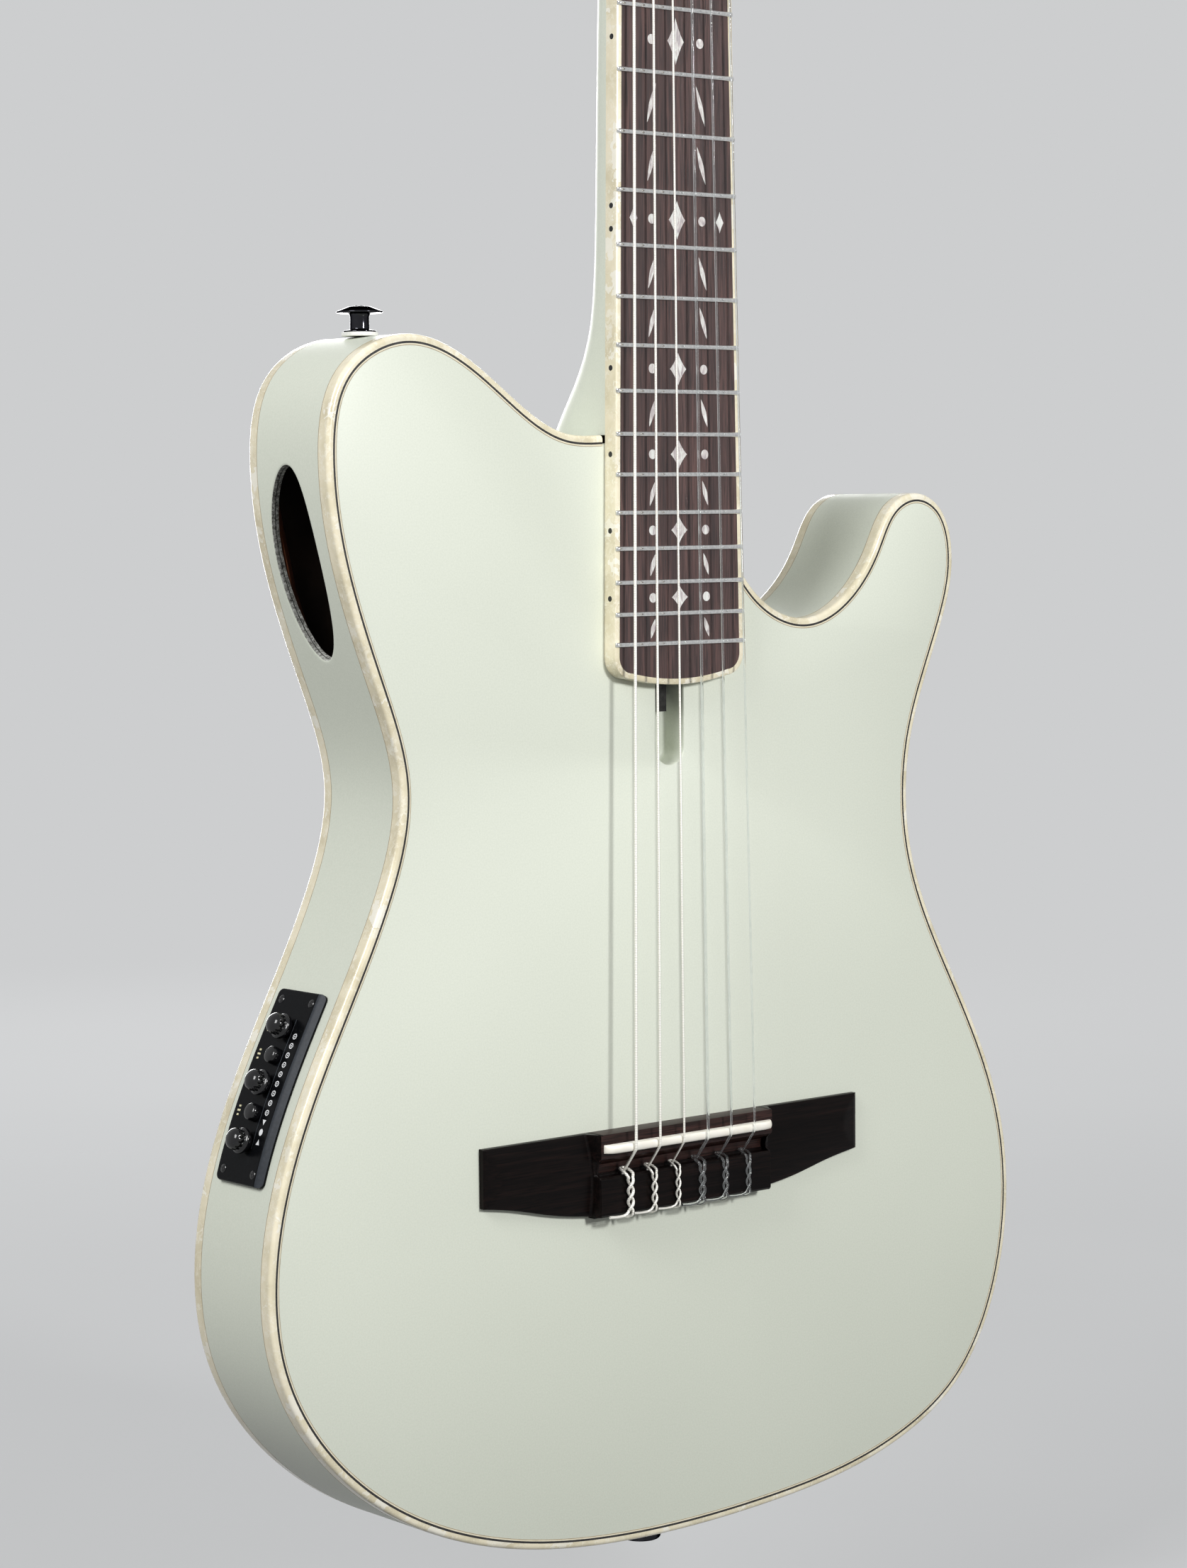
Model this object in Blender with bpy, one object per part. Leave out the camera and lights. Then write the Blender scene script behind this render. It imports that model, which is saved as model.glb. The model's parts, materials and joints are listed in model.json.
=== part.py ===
"""Thin-bodied nylon-string guitar with a single cutaway, a side sound port and a side preamp.

Frame: metres, +Z along the neck towards the head, +X to the treble side, the front faces -Y.
The origin is on the neck's centreline, in the plane of the soundboard, under the nut.
"""

import math

import bmesh
import bpy
import numpy as np
from mathutils import Matrix, Vector

MM = 0.001
GAP = 0.3 * MM

# Scale and neck
SCALE_LENGTH = 634 * MM
SADDLE_Z = -SCALE_LENGTH
FRET_COUNT = 22
NUT_WIDTH = 46 * MM
BOARD_WIDTH_AT_LAST_FRET = 61 * MM
BOARD_THICKNESS = 5.8 * MM
BOARD_END_Z = -471 * MM
BOARD_BINDING_WIDTH = 2 * MM
FRET_HEIGHT = 1.1 * MM
FRET_WIDTH = 2.4 * MM
NUT_LENGTH = 5 * MM
JOINT_Z = -382.7 * MM
ROD_HALF_WIDTH = 2.5 * MM
ROD_END_Z = SADDLE_Z + 163 * MM
ROD_CENTRE_Y = 6.9 * MM

# Body
BODY_DEPTH = 45.5 * MM
PLATE_THICKNESS = 3 * MM
SIDE_THICKNESS = 3 * MM
BINDING_WIDTH = 2.5 * MM
BINDING_HEIGHT = 5 * MM
LINING_REACH = 9 * MM
LINING_HEIGHT = 6 * MM
STATIONS = 54
PORT_MIDDLE = 189.8 * MM
JACK_X = 2 * MM
JACK_Z = SADDLE_Z - 147.6 * MM

# Bridge
BRIDGE_BASE_Y = -3.4 * MM
TIE_BLOCK_TOP_Y = -7.6 * MM
TIE_BLOCK_FRONT = SADDLE_Z - 10.4 * MM
TIE_BLOCK_BACK = SADDLE_Z - 24.8 * MM
TIE_HOLE_Y = -5.0 * MM
SADDLE_TOP_Y = -11.75 * MM

# Strings, bass to treble: name and diameter
STRINGS = [("string_6_e", 1.10 * MM), ("string_5_a", 0.90 * MM), ("string_4_d", 0.76 * MM),
           ("string_3_g", 1.02 * MM), ("string_2_b", 0.82 * MM), ("string_1_e", 0.72 * MM)]
WOUND_STRINGS = 3
NUT_STRING_STEP = 7.5 * MM
SADDLE_STRING_STEP = 11.5 * MM
NUT_NOTCH_Y = -7.1 * MM

# Slotted head, in its own frame: u runs up the head, v goes in from its face
HEAD_ANGLE = math.radians(12)
HEAD_ORIGIN_Z = 5 * MM
HEAD_THICKNESS = 19 * MM
HEAD_HALF_WIDTH = 35 * MM
SLOT_INNER_X = 8.5 * MM
SLOT_OUTER_X = 24.5 * MM
SLOT_START_U = 26 * MM
SLOT_END_U = 142 * MM
FIRST_ROLLER_U = 50 * MM
ROLLER_PITCH = 35 * MM
ROLLER_V = 9.5 * MM
ROLLER_RADIUS = 5 * MM
AXLE_RADIUS = 2.2 * MM
COIL_TURNS = 1.5
COIL_START_X = (20.5 * MM, 17.5 * MM, 14.5 * MM)

# Worm drive of a machine head
WORM_PITCH = 2.2 * MM
WORM_RADIUS = 2.0 * MM
WORM_SHAFT_RADIUS = 1.2 * MM
GEAR_TEETH = 14
GEAR_RADIUS = GEAR_TEETH * WORM_PITCH / (2 * math.pi)
GEAR_THICKNESS = 3 * MM
DRIVE_X = 39.6 * MM
WORM_OFFSET_U = GEAR_RADIUS + WORM_RADIUS
PLATE_SHEET = 1.2 * MM

# Preamp, placed along the side from the bass neck joint
PREAMP_MIDDLE = 377.8 * MM
PREAMP_LENGTH = 68.6 * MM
PREAMP_FRONT_Y = 9.6 * MM
PREAMP_BACK_Y = 35.6 * MM
PREAMP_PROUD = 2.3 * MM
CONTROL_Y = 22.6 * MM
CONTROL_STEP = 10.1 * MM
CONTROLS = ["knob_upper", "button_upper", "knob_middle", "button_lower", "knob_lower"]

# Outer edge of the body as seen from the front, in mm from the neck's centreline and the saddle,
# from the bass neck joint round the tail to the treble side of the neck
BODY_EDGE = [(-30.6, 251.3), (-45, 251.6), (-75, 267.5), (-117, 284.4), (-142.5, 271),
             (-149.6, 241), (-130.5, 166), (-121, 131), (-131, 92), (-162.5, 30), (-178.7, -23),
             (-175.5, -62), (-150, -101.5), (-98, -133.3), (-20, -147.3), (45, -146.3),
             (121, -132), (147, -117), (173.3, -69), (173, -15), (146, 45), (122.5, 97),
             (122.5, 137), (140.5, 184), (145.2, 204), (138, 225.5), (125, 230.5),
             (112.5, 225.5), (102, 209), (67, 184.9), (43, 194.5), (30.5, 210)]

# Materials: name, linear colour, roughness, metallic
PAINT = ("paint_sage_white", (0.66, 0.72, 0.64), 0.32, 0.0)
SPRUCE = ("bare_spruce", (0.62, 0.42, 0.22), 0.7, 0.0)
MAHOGANY = ("mahogany", (0.30, 0.13, 0.06), 0.65, 0.0)
PEARLOID = ("pearloid", (0.80, 0.72, 0.52), 0.25, 0.0)
ROSEWOOD = ("rosewood", (0.055, 0.028, 0.022), 0.45, 0.0)
BRIDGE_WOOD = ("bridge_wood", (0.018, 0.010, 0.008), 0.35, 0.0)
BONE = ("bone", (0.83, 0.80, 0.72), 0.4, 0.0)
NICKEL = ("nickel", (0.75, 0.75, 0.76), 0.2, 1.0)
BRASS = ("brass", (0.72, 0.52, 0.20), 0.3, 1.0)
CHROME = ("chrome", (0.80, 0.81, 0.83), 0.08, 1.0)
STEEL = ("steel", (0.45, 0.46, 0.48), 0.35, 1.0)
BLACK_PLASTIC = ("black_plastic", (0.01, 0.01, 0.011), 0.15, 0.0)
BATTERY_CASE = ("battery_case", (0.05, 0.05, 0.06), 0.4, 0.2)
WASHER = ("white_washer", (0.80, 0.80, 0.78), 0.6, 0.0)
PIEZO = ("piezo_strip", (0.16, 0.16, 0.17), 0.6, 0.0)
WOUND_STRING = ("wound_string", (0.72, 0.72, 0.73), 0.3, 0.9)
NYLON_STRING = ("nylon_string", (0.80, 0.82, 0.80), 0.15, 0.0)


# Scene and mesh helpers

def clear_scene():
    for obj in list(bpy.data.objects):
        bpy.data.objects.remove(obj, do_unlink=True)


def material(spec):
    name, colour, roughness, metallic = spec
    found = bpy.data.materials.get(name)
    if found:
        return found
    made = bpy.data.materials.new(name)
    made.use_nodes = True
    shader = made.node_tree.nodes["Principled BSDF"]
    shader.inputs["Base Color"].default_value = (*colour, 1.0)
    shader.inputs["Roughness"].default_value = roughness
    shader.inputs["Metallic"].default_value = metallic
    made.diffuse_color = (*colour, 1.0)
    return made


def make_mesh(name, shape, spec, smooth=None):
    """A mesh from points and faces, its faces turned outwards."""
    points, faces = shape
    mesh = bpy.data.meshes.new(name)
    mesh.from_pydata([tuple(p) for p in points], [], faces)
    shell = bmesh.new()
    shell.from_mesh(mesh)
    bmesh.ops.recalc_face_normals(shell, faces=shell.faces)
    if shell.calc_volume(signed=True) < 0:
        bmesh.ops.reverse_faces(shell, faces=shell.faces)
    shell.to_mesh(mesh)
    shell.free()
    if smooth is not None:
        mesh.shade_smooth()
        mesh.set_sharp_from_angle(angle=math.radians(smooth))
    mesh.materials.append(material(spec))
    return mesh


def link(name, data, parent=None, place=None):
    obj = bpy.data.objects.new(name, data)
    obj.parent = parent
    if place is not None:
        obj.matrix_local = place
    bpy.context.scene.collection.objects.link(obj)
    return obj


def solid(name, shape, spec, smooth=None, parent=None, place=None):
    return link(name, make_mesh(name, shape, spec, smooth), parent, place)


def boolean(obj, shape, operation="DIFFERENCE", parent=None, place=None):
    """Cuts or joins a shape, which stays in the scene as a hidden guide."""
    guide = solid(f"guide_{obj.name}_{len(obj.modifiers)}", shape, PAINT, None, parent, place)
    guide.hide_render = True
    guide.display_type = "WIRE"
    modifier = obj.modifiers.new(operation.lower(), "BOOLEAN")
    modifier.operation = operation
    modifier.solver = "EXACT"
    modifier.object = guide


# Shapes: each is a pair of points and faces

def loft(rings, closed=False):
    """A skin over rings of equal length; its ends are capped unless it closes on itself."""
    count = len(rings[0])
    points = [point for ring in rings for point in ring]
    faces = []
    for r in range(len(rings) if closed else len(rings) - 1):
        here = r * count
        there = (r + 1) % len(rings) * count
        for k in range(count):
            n = (k + 1) % count
            faces.append((here + k, here + n, there + n, there + k))
    if not closed:
        faces.append(tuple(range(count))[::-1])
        faces.append(tuple(range(len(points) - count, len(points))))
    return points, faces


def prism(outline, y0, y1):
    """A flat plate: an outline of (x, z) points between two depths."""
    return loft([[(x, y0, z) for x, z in outline], [(x, y1, z) for x, z in outline]])


def bar(section, x0, x1):
    """A bar along X: a section of (y, z) points between two places."""
    return loft([[(x0, y, z) for y, z in section], [(x1, y, z) for y, z in section]])


def box(x0, x1, y0, y1, z0, z1):
    return prism([(x0, z0), (x1, z0), (x1, z1), (x0, z1)], y0, y1)


def turned(profile, steps, axis="Z"):
    """A solid turned from (radius, height) points; a radius of zero closes an end to a point."""
    spin = {"Z": lambda r, a, h: (r * math.cos(a), r * math.sin(a), h),
            "X": lambda r, a, h: (h, r * math.cos(a), r * math.sin(a)),
            "Y": lambda r, a, h: (r * math.sin(a), h, r * math.cos(a))}[axis]
    points, faces, rows = [], [], []
    for radius, height in profile:
        copies = steps if radius else 1
        rows.append([len(points) + k for k in range(copies)])
        points.extend(spin(radius, 2 * math.pi * k / steps, height) for k in range(copies))
    for low, high in zip(rows, rows[1:]):
        for k in range(steps):
            n = (k + 1) % steps
            if len(low) == 1:
                faces.append((low[0], high[n], high[k]))
            elif len(high) == 1:
                faces.append((low[k], low[n], high[0]))
            else:
                faces.append((low[k], low[n], high[n], high[k]))
    faces.extend(tuple(row) for row in (rows[0], rows[-1]) if len(row) > 1)
    return points, faces


def turned_ring(profile, steps):
    """A closed (radius, height) profile turned about Z, open in its middle."""
    rings = []
    for k in range(steps):
        angle = 2 * math.pi * k / steps
        rings.append([(r * math.cos(angle), r * math.sin(angle), h) for r, h in profile])
    return loft(rings, closed=True)


def moved(shape, x=0, y=0, z=0):
    points, faces = shape
    return [(px + x, py + y, pz + z) for px, py, pz in points], faces


def merged(shapes):
    """Several closed shapes as one, for a guide that cuts or joins them all at once."""
    points, faces = [], []
    for shape_points, shape_faces in shapes:
        start = len(points)
        points.extend(shape_points)
        faces.extend(tuple(start + k for k in face) for face in shape_faces)
    return points, faces


def in_mm(pairs):
    return [(a * MM, b * MM) for a, b in pairs]


# Body outline

def natural_spline(knots, count):
    """Points of a smooth curve through the knots, evenly spread along their chords."""
    chord = np.concatenate([[0], np.cumsum(np.linalg.norm(np.diff(knots, axis=0), axis=1))])
    step = np.diff(chord)
    matrix = np.eye(len(knots))
    bend = np.zeros_like(knots)
    for i in range(1, len(knots) - 1):
        matrix[i, i - 1:i + 2] = step[i - 1], 2 * (step[i - 1] + step[i]), step[i]
        bend[i] = 6 * ((knots[i + 1] - knots[i]) / step[i] - (knots[i] - knots[i - 1]) / step[i - 1])
    bend = np.linalg.solve(matrix, bend)
    points = []
    for at in np.linspace(0, chord[-1], count):
        i = min(int(np.searchsorted(chord, at, side="right")) - 1, len(knots) - 2)
        a = (chord[i + 1] - at) / step[i]
        b = (at - chord[i]) / step[i]
        curve = ((a ** 3 - a) * bend[i] + (b ** 3 - b) * bend[i + 1]) * step[i] ** 2 / 6
        points.append(a * knots[i] + b * knots[i + 1] + curve)
    return np.array(points)


FINE_EDGE = natural_spline(np.array(BODY_EDGE) * MM + (0, SADDLE_Z), 2400)
FINE_LENGTH = np.concatenate([[0], np.cumsum(np.linalg.norm(np.diff(FINE_EDGE, axis=0), axis=1))])


def edge_stations(count):
    """Stations on the outline, closer together where it turns more."""
    run = np.diff(FINE_EDGE, axis=0)
    heading = np.unwrap(np.arctan2(run[:, 1], run[:, 0]))
    turning = np.concatenate([[0, 0], np.cumsum(np.abs(np.diff(heading)))])
    effort = FINE_LENGTH / FINE_LENGTH[-1] + 1.2 * turning / turning[-1]
    at = np.interp(np.linspace(0, effort[-1], count), effort, FINE_LENGTH)
    return np.stack([np.interp(at, FINE_LENGTH, FINE_EDGE[:, k]) for k in (0, 1)], axis=1)


def side_place(along):
    """Point on the side and its outward direction, at a distance from the bass neck joint."""
    point, ahead = (np.array([np.interp(at, FINE_LENGTH, FINE_EDGE[:, k]) for k in (0, 1)])
                    for at in (along, along + MM))
    run = (ahead - point) / np.linalg.norm(ahead - point)
    return point, np.array([run[1], -run[0]])


def inset(points, distance):
    """The closed outline moved inwards by a distance, with mitred corners."""
    ahead = np.roll(points, -1, axis=0) - points
    ahead = ahead / np.linalg.norm(ahead, axis=1, keepdims=True)
    behind = np.roll(ahead, 1, axis=0)
    middle = ahead + behind
    middle = middle / np.linalg.norm(middle, axis=1, keepdims=True)
    stretch = np.maximum(np.sum(middle * ahead, axis=1, keepdims=True), 0.5)
    return points + np.stack([-middle[:, 1], middle[:, 0]], axis=1) * distance / stretch


NECK_CORNERS = np.array([(30.5 * MM, JOINT_Z - 20 * MM), (30.5 * MM, JOINT_Z)])
OUTLINE = np.vstack([edge_stations(STATIONS), NECK_CORNERS])


def carried(section):
    """Rings of a section of (inset, depth) corners, carried round the outline."""
    rails = [(inset(OUTLINE, distance), depth) for distance, depth in section]
    return [[(rail[k][0], depth, rail[k][1]) for rail, depth in rails] for k in range(len(OUTLINE))]


def on_side(along, reach, depth):
    """A point at a distance along the side, out from it, and down from the front."""
    point, outward = side_place(along)
    place = point + outward * reach
    return place[0], depth, place[1]


# Body

def rod_channel():
    """The truss rod's way out of the neck and into the body."""
    half = ROD_HALF_WIDTH + MM
    return box(-half, half, -MM, 9.6 * MM, ROD_END_Z - 2 * MM, JOINT_Z + 2 * MM)


def make_plates():
    outline = inset(OUTLINE, BINDING_WIDTH + GAP)
    board = solid("soundboard", prism(outline, 0, PLATE_THICKNESS), PAINT)
    slot_half = 6.5 * MM
    slot_end = SADDLE_Z + 140.5 * MM
    slot_top = SADDLE_Z + 176 * MM
    slot = [(slot_half, slot_top), (-slot_half, slot_top)]
    for k in range(9):
        angle = math.pi + k * math.pi / 8
        slot.append((slot_half * math.cos(angle), slot_end + slot_half * math.sin(angle)))
    boolean(board, prism(slot, -2 * MM, 6 * MM))
    solid("back_plate", prism(outline, BODY_DEPTH - PLATE_THICKNESS, BODY_DEPTH), PAINT)


def make_sides():
    """The two bent sides, open at the sound port, the preamp, the jack and the truss rod."""
    front = BINDING_HEIGHT + GAP
    back = BODY_DEPTH - BINDING_HEIGHT - GAP
    section = [(0, front), (0, back), (SIDE_THICKNESS, back), (SIDE_THICKNESS, front)]
    far = 300 * MM
    hole = turned([(6.3 * MM, -12 * MM), (6.3 * MM, 12 * MM)], 16)
    sides = {}
    for name, direction in (("side_bass", -1), ("side_treble", 1)):
        side = solid(name, loft(carried(section), closed=True), PAINT, smooth=30)
        seam = JACK_X + direction * GAP / 2
        other_half = sorted([seam, -direction * far])
        boolean(side, box(*other_half, -10 * MM, 60 * MM, -0.9, 0))
        boolean(side, hole, place=Matrix.Translation((JACK_X, BODY_DEPTH / 2, JACK_Z)))
        boolean(side, rod_channel())
        sides[name] = side
    _, outward = side_place(PORT_MIDDLE)
    rings = []
    for reach in (-16 * MM, 16 * MM):
        ring = []
        for k in range(24):
            angle = 2 * math.pi * k / 24
            x, y, z = on_side(PORT_MIDDLE + 34 * MM * math.cos(angle), 0,
                              23.9 * MM + 12.2 * MM * math.sin(angle))
            ring.append((x + outward[0] * reach, y, z + outward[1] * reach))
        rings.append(ring)
    boolean(sides["side_bass"], loft(rings))
    boolean(sides["side_bass"], preamp_block(0.6 * MM, -20 * MM, 9 * MM))


def make_linings():
    """Strips inside both edges that the plates are glued to."""
    wall = SIDE_THICKNESS + GAP
    front = PLATE_THICKNESS + GAP
    back = BODY_DEPTH - front
    top = [(wall, front), (wall, front + LINING_HEIGHT), (LINING_REACH, front)]
    bottom = [(wall, back - LINING_HEIGHT), (wall, back), (LINING_REACH, back)]
    lining = solid("top_lining", loft(carried(top), closed=True), MAHOGANY)
    boolean(lining, rod_channel())
    solid("back_lining", loft(carried(bottom), closed=True), MAHOGANY)


def make_bindings():
    """Pearloid strips let into both edges; the front one stops at the neck."""
    width, height, ease = BINDING_WIDTH, BINDING_HEIGHT, 1 * MM
    front = [(0, height), (0, ease), (ease, 0), (width, 0), (width, height)]
    back = [(distance, BODY_DEPTH - depth) for distance, depth in front]
    solid("top_binding", loft(carried(front)), PEARLOID, smooth=40)
    solid("back_binding", loft(carried(back), closed=True), PEARLOID, smooth=40)


def make_blocks():
    """Neck and tail blocks, shaped to the sides and to the linings between them."""
    front = PLATE_THICKNESS + GAP
    back = BODY_DEPTH - front
    low = SADDLE_Z + 200 * MM
    under = JOINT_Z - LINING_REACH - 0.5 * MM
    wall = JOINT_Z - SIDE_THICKNESS - GAP
    past = LINING_HEIGHT + 0.6 * MM
    section = [(front, low), (front, under), (front + past, wall), (back - past, wall),
               (back, under), (back, low)]
    block = solid("neck_block", bar(section, -42 * MM, 21 * MM), MAHOGANY)
    boolean(block, rod_channel())

    inner = inset(OUTLINE, SIDE_THICKNESS + GAP)
    against = [tuple(p) for p in inner if p[1] < SADDLE_Z - 130 * MM and abs(p[0]) < 42 * MM]
    high = SADDLE_Z - 124 * MM
    outline = against + [(against[-1][0], high), (against[0][0], high)]
    tail = solid("tail_block", prism(outline, front + past, back - past), MAHOGANY)
    hole = turned([(6.8 * MM, -10 * MM), (6.8 * MM, 40 * MM)], 12)
    boolean(tail, hole, place=Matrix.Translation((JACK_X, BODY_DEPTH / 2, JACK_Z)))


def brace(start, end, width, height, y0, direction=1):
    """A brace with scalloped ends between two (x, z) places, standing on a plate at depth y0."""
    start, end = np.array(start), np.array(end)
    length = np.linalg.norm(end - start)
    run = (end - start) / length
    side = np.array([-run[1], run[0]]) * width / 2
    scallop = length / 5
    rings = []
    for along, tall in ((0, 1.2 * MM), (scallop, height), (length - scallop, height),
                        (length, 1.2 * MM)):
        left, right = start + run * along - side, start + run * along + side
        top = y0 + direction * tall
        rings.append([(left[0], y0, left[1]), (right[0], y0, right[1]),
                      (right[0], top, right[1]), (left[0], top, left[1])])
    return loft(rings)


def make_bracing():
    """Five fan braces let into the bridge plate, and a brace across the front and the back."""
    under_front = PLATE_THICKNESS + GAP
    plate = solid("fan_bracing", box(-78 * MM, 78 * MM, under_front, under_front + 2.5 * MM,
                                     SADDLE_Z - 30 * MM, SADDLE_Z + 10 * MM), SPRUCE)
    fans = []
    for place in range(-2, 3):
        foot = (place * 42 * MM, SADDLE_Z - (112 - abs(place) * 9) * MM)
        top = (place * 24 * MM, SADDLE_Z + 106 * MM)
        fans.append(brace(foot, top, 6 * MM, 6 * MM, under_front))
    boolean(plate, merged(fans), "UNION")
    across = SADDLE_Z + 123 * MM
    solid("upper_cross_brace", brace((-108 * MM, across), (106 * MM, across), 9 * MM, 12 * MM,
                                     under_front), SPRUCE)
    across = SADDLE_Z - 20 * MM
    solid("back_brace", brace((-158 * MM, across), (156 * MM, across), 10 * MM, 10 * MM,
                              BODY_DEPTH - under_front, direction=-1), SPRUCE)


# Neck and head

def fret_z(number):
    return SADDLE_Z + SCALE_LENGTH * 2 ** (-number / 12)


def board_half_width(z):
    widening = (BOARD_WIDTH_AT_LAST_FRET - NUT_WIDTH) / 2 / -fret_z(FRET_COUNT)
    return NUT_WIDTH / 2 - z * widening


def neck_section(half_width, depth, power, waist):
    """Half a superellipse as (x, depth) points, narrowed towards its back by the waist."""
    section = []
    for k in range(13):
        angle = math.pi * k / 12
        across = math.copysign(abs(math.cos(angle)) ** (2 / power), math.cos(angle))
        down = math.sin(angle) ** (2 / power)
        section.append((half_width * across * (1 - waist * down), depth * down))
    return section


def head_point(x, v, u):
    """A point of the head's own frame, in the part's frame."""
    return (x, v * math.cos(HEAD_ANGLE) + u * math.sin(HEAD_ANGLE),
            HEAD_ORIGIN_Z - v * math.sin(HEAD_ANGLE) + u * math.cos(HEAD_ANGLE))


def make_head_frame():
    """An empty at the foot of the head, tilted back; its local Z runs up the head."""
    return link("head_frame", None, place=Matrix.Translation((0, 0, HEAD_ORIGIN_Z))
                @ Matrix.Rotation(-HEAD_ANGLE, 4, "X"))


def head_outline():
    """The head seen from its face: shoulders, straight sides and a low crest."""
    right = in_mm([(25.4, 11), (29, 16), (33.5, 23), (35, 30), (35, 158), (33.5, 168), (28, 175),
                   (18, 178), (8, 182)])
    return right + [(0, 184 * MM)] + [(-x, u) for x, u in right[::-1]]


def slot_shape(side):
    """A string slot with round ends, through the head."""
    middle = side * (SLOT_INNER_X + SLOT_OUTER_X) / 2
    radius = (SLOT_OUTER_X - SLOT_INNER_X) / 2
    outline = []
    for centre, start in ((SLOT_END_U - radius, 0), (SLOT_START_U + radius, math.pi)):
        for k in range(9):
            angle = start + math.pi * k / 8
            outline.append((middle + radius * math.cos(angle), centre + radius * math.sin(angle)))
    return prism(outline, -8 * MM, HEAD_THICKNESS + 12 * MM)


def roller_height(rank):
    return FIRST_ROLLER_U + rank * ROLLER_PITCH


def axle_hole(side, rank, x0, x1):
    radius = AXLE_RADIUS + 0.45 * MM
    hole = turned([(radius, side * x0), (radius, side * x1)], 10, axis="X")
    return moved(hole, y=ROLLER_V, z=roller_height(rank))


def make_neck(head):
    """Neck, heel and slotted head, carved from one piece."""
    stations = [(3, 24.0, 17.0, 3.4, 0.0), (11, 26.2, 18.8, 6.0, 0.0)]
    rings = []
    for u, half, depth, power, waist in stations[::-1]:
        section = neck_section(half * MM, depth * MM, power, waist)
        rings.append([head_point(x, v, u * MM) for x, v in section])
    stations = [(-1, 14.9, 2.4, 0.0), (-60, 15.0, 2.2, 0.0), (-250, 16.5, 2.2, 0.0),
                (-312, 17.5, 2.3, 0.0), (-335, 19.5, 2.4, 0.02), (-348, 23, 2.6, 0.05),
                (-358, 28, 2.9, 0.08), (-366, 33.5, 3.2, 0.11), (-374, 39.5, 3.6, 0.14),
                (-382.4, 45, 4.0, 0.17)]
    for z, depth, power, waist in stations:
        section = neck_section(board_half_width(z * MM), depth * MM, power, waist)
        rings.append([(x, y, z * MM) for x, y in section])
    neck = solid("neck", loft(rings), PAINT, smooth=35)
    boolean(neck, prism(head_outline(), 0, HEAD_THICKNESS), "UNION", parent=head)
    under_nut = [(0, -6 * MM), (0, NUT_LENGTH + GAP), (12 * MM, NUT_LENGTH), (12 * MM, -6 * MM)]
    boolean(neck, bar(under_nut, -22.9 * MM, 22.9 * MM), "UNION")
    boolean(neck, merged([slot_shape(1), slot_shape(-1)]), parent=head)
    holes = [axle_hole(side, rank, 3 * MM, 38 * MM) for side in (1, -1) for rank in range(3)]
    boolean(neck, merged(holes), parent=head)
    half = ROD_HALF_WIDTH + MM
    boolean(neck, box(-half, half, -MM, 9.6 * MM, JOINT_Z - 10 * MM, -18 * MM))


def make_truss_rod():
    """A steel rod in the neck's channel, with its adjusting nut in the soundboard's slot."""
    half = ROD_HALF_WIDTH
    rod = solid("truss_rod", box(-half, half, ROD_CENTRE_Y - half, ROD_CENTRE_Y + half,
                                 ROD_END_Z, -20 * MM), STEEL)
    place = Matrix.Translation((0, ROD_CENTRE_Y, ROD_END_Z))
    stud = turned([(1.5 * MM, -6 * MM), (1.5 * MM, 2 * MM)], 10)
    boolean(rod, stud, "UNION", place=place)
    nut = solid("truss_rod_nut", turned([(3.4 * MM, -10 * MM), (3.4 * MM, -0.5 * MM)], 6), BRASS,
                place=place)
    bore = turned([(1.9 * MM, -6.6 * MM), (1.9 * MM, 1 * MM)], 10)
    socket = turned([(2.2 * MM, -12 * MM), (2.2 * MM, -6.2 * MM)], 6)
    boolean(nut, bore, place=place)
    boolean(nut, socket, place=place)


def board_outline(margin):
    """The fretboard seen from the front, its end bowed and its corners rounded."""
    end = BOARD_END_Z + margin
    low = end + 2.6 * MM
    corner = 8 * MM - margin
    half = board_half_width(low) - margin
    right = [(board_half_width(0) - margin, 0)]
    for k in range(5):
        angle = math.radians(90) * k / 4
        right.append((half - corner + corner * math.cos(angle),
                      low + corner * (1 - math.sin(angle))))
    right.append((0.45 * half, end + 0.5 * MM))
    return right + [(-x, z) for x, z in right[::-1]]


def fret(number):
    """A fret's crown across the whole board, with bevelled ends."""
    z = fret_z(number)
    half = board_half_width(z) - 0.3 * MM
    crown = [(-0.5, -0.05), (-0.5, 0.3), (-0.25, 0.94), (0.25, 0.94), (0.5, 0.3), (0.5, -0.05)]
    ends = []
    for side in (-1, 1):
        ends.append([(side * (half - 0.9 * max(rise, 0) * MM),
                      -BOARD_THICKNESS - rise * FRET_HEIGHT, z + along * FRET_WIDTH)
                     for along, rise in crown])
    return loft(ends)


def make_fretboard():
    """The fretboard with its frets seated in it, and the pearloid strip round three sides."""
    board = solid("fretboard", prism(board_outline(BOARD_BINDING_WIDTH + GAP), -BOARD_THICKNESS,
                                     -GAP), ROSEWOOD)
    boolean(board, merged([fret(number + 1) for number in range(FRET_COUNT)]), "UNION")
    top = -BOARD_THICKNESS + 0.3 * MM
    rings = []
    for (x, z), (inner_x, inner_z) in zip(board_outline(0), board_outline(BOARD_BINDING_WIDTH)):
        rings.append([(x, -GAP, z), (x, top, z), (inner_x, top, inner_z), (inner_x, -GAP, inner_z)])
    solid("fretboard_binding", loft(rings), PEARLOID)


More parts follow.
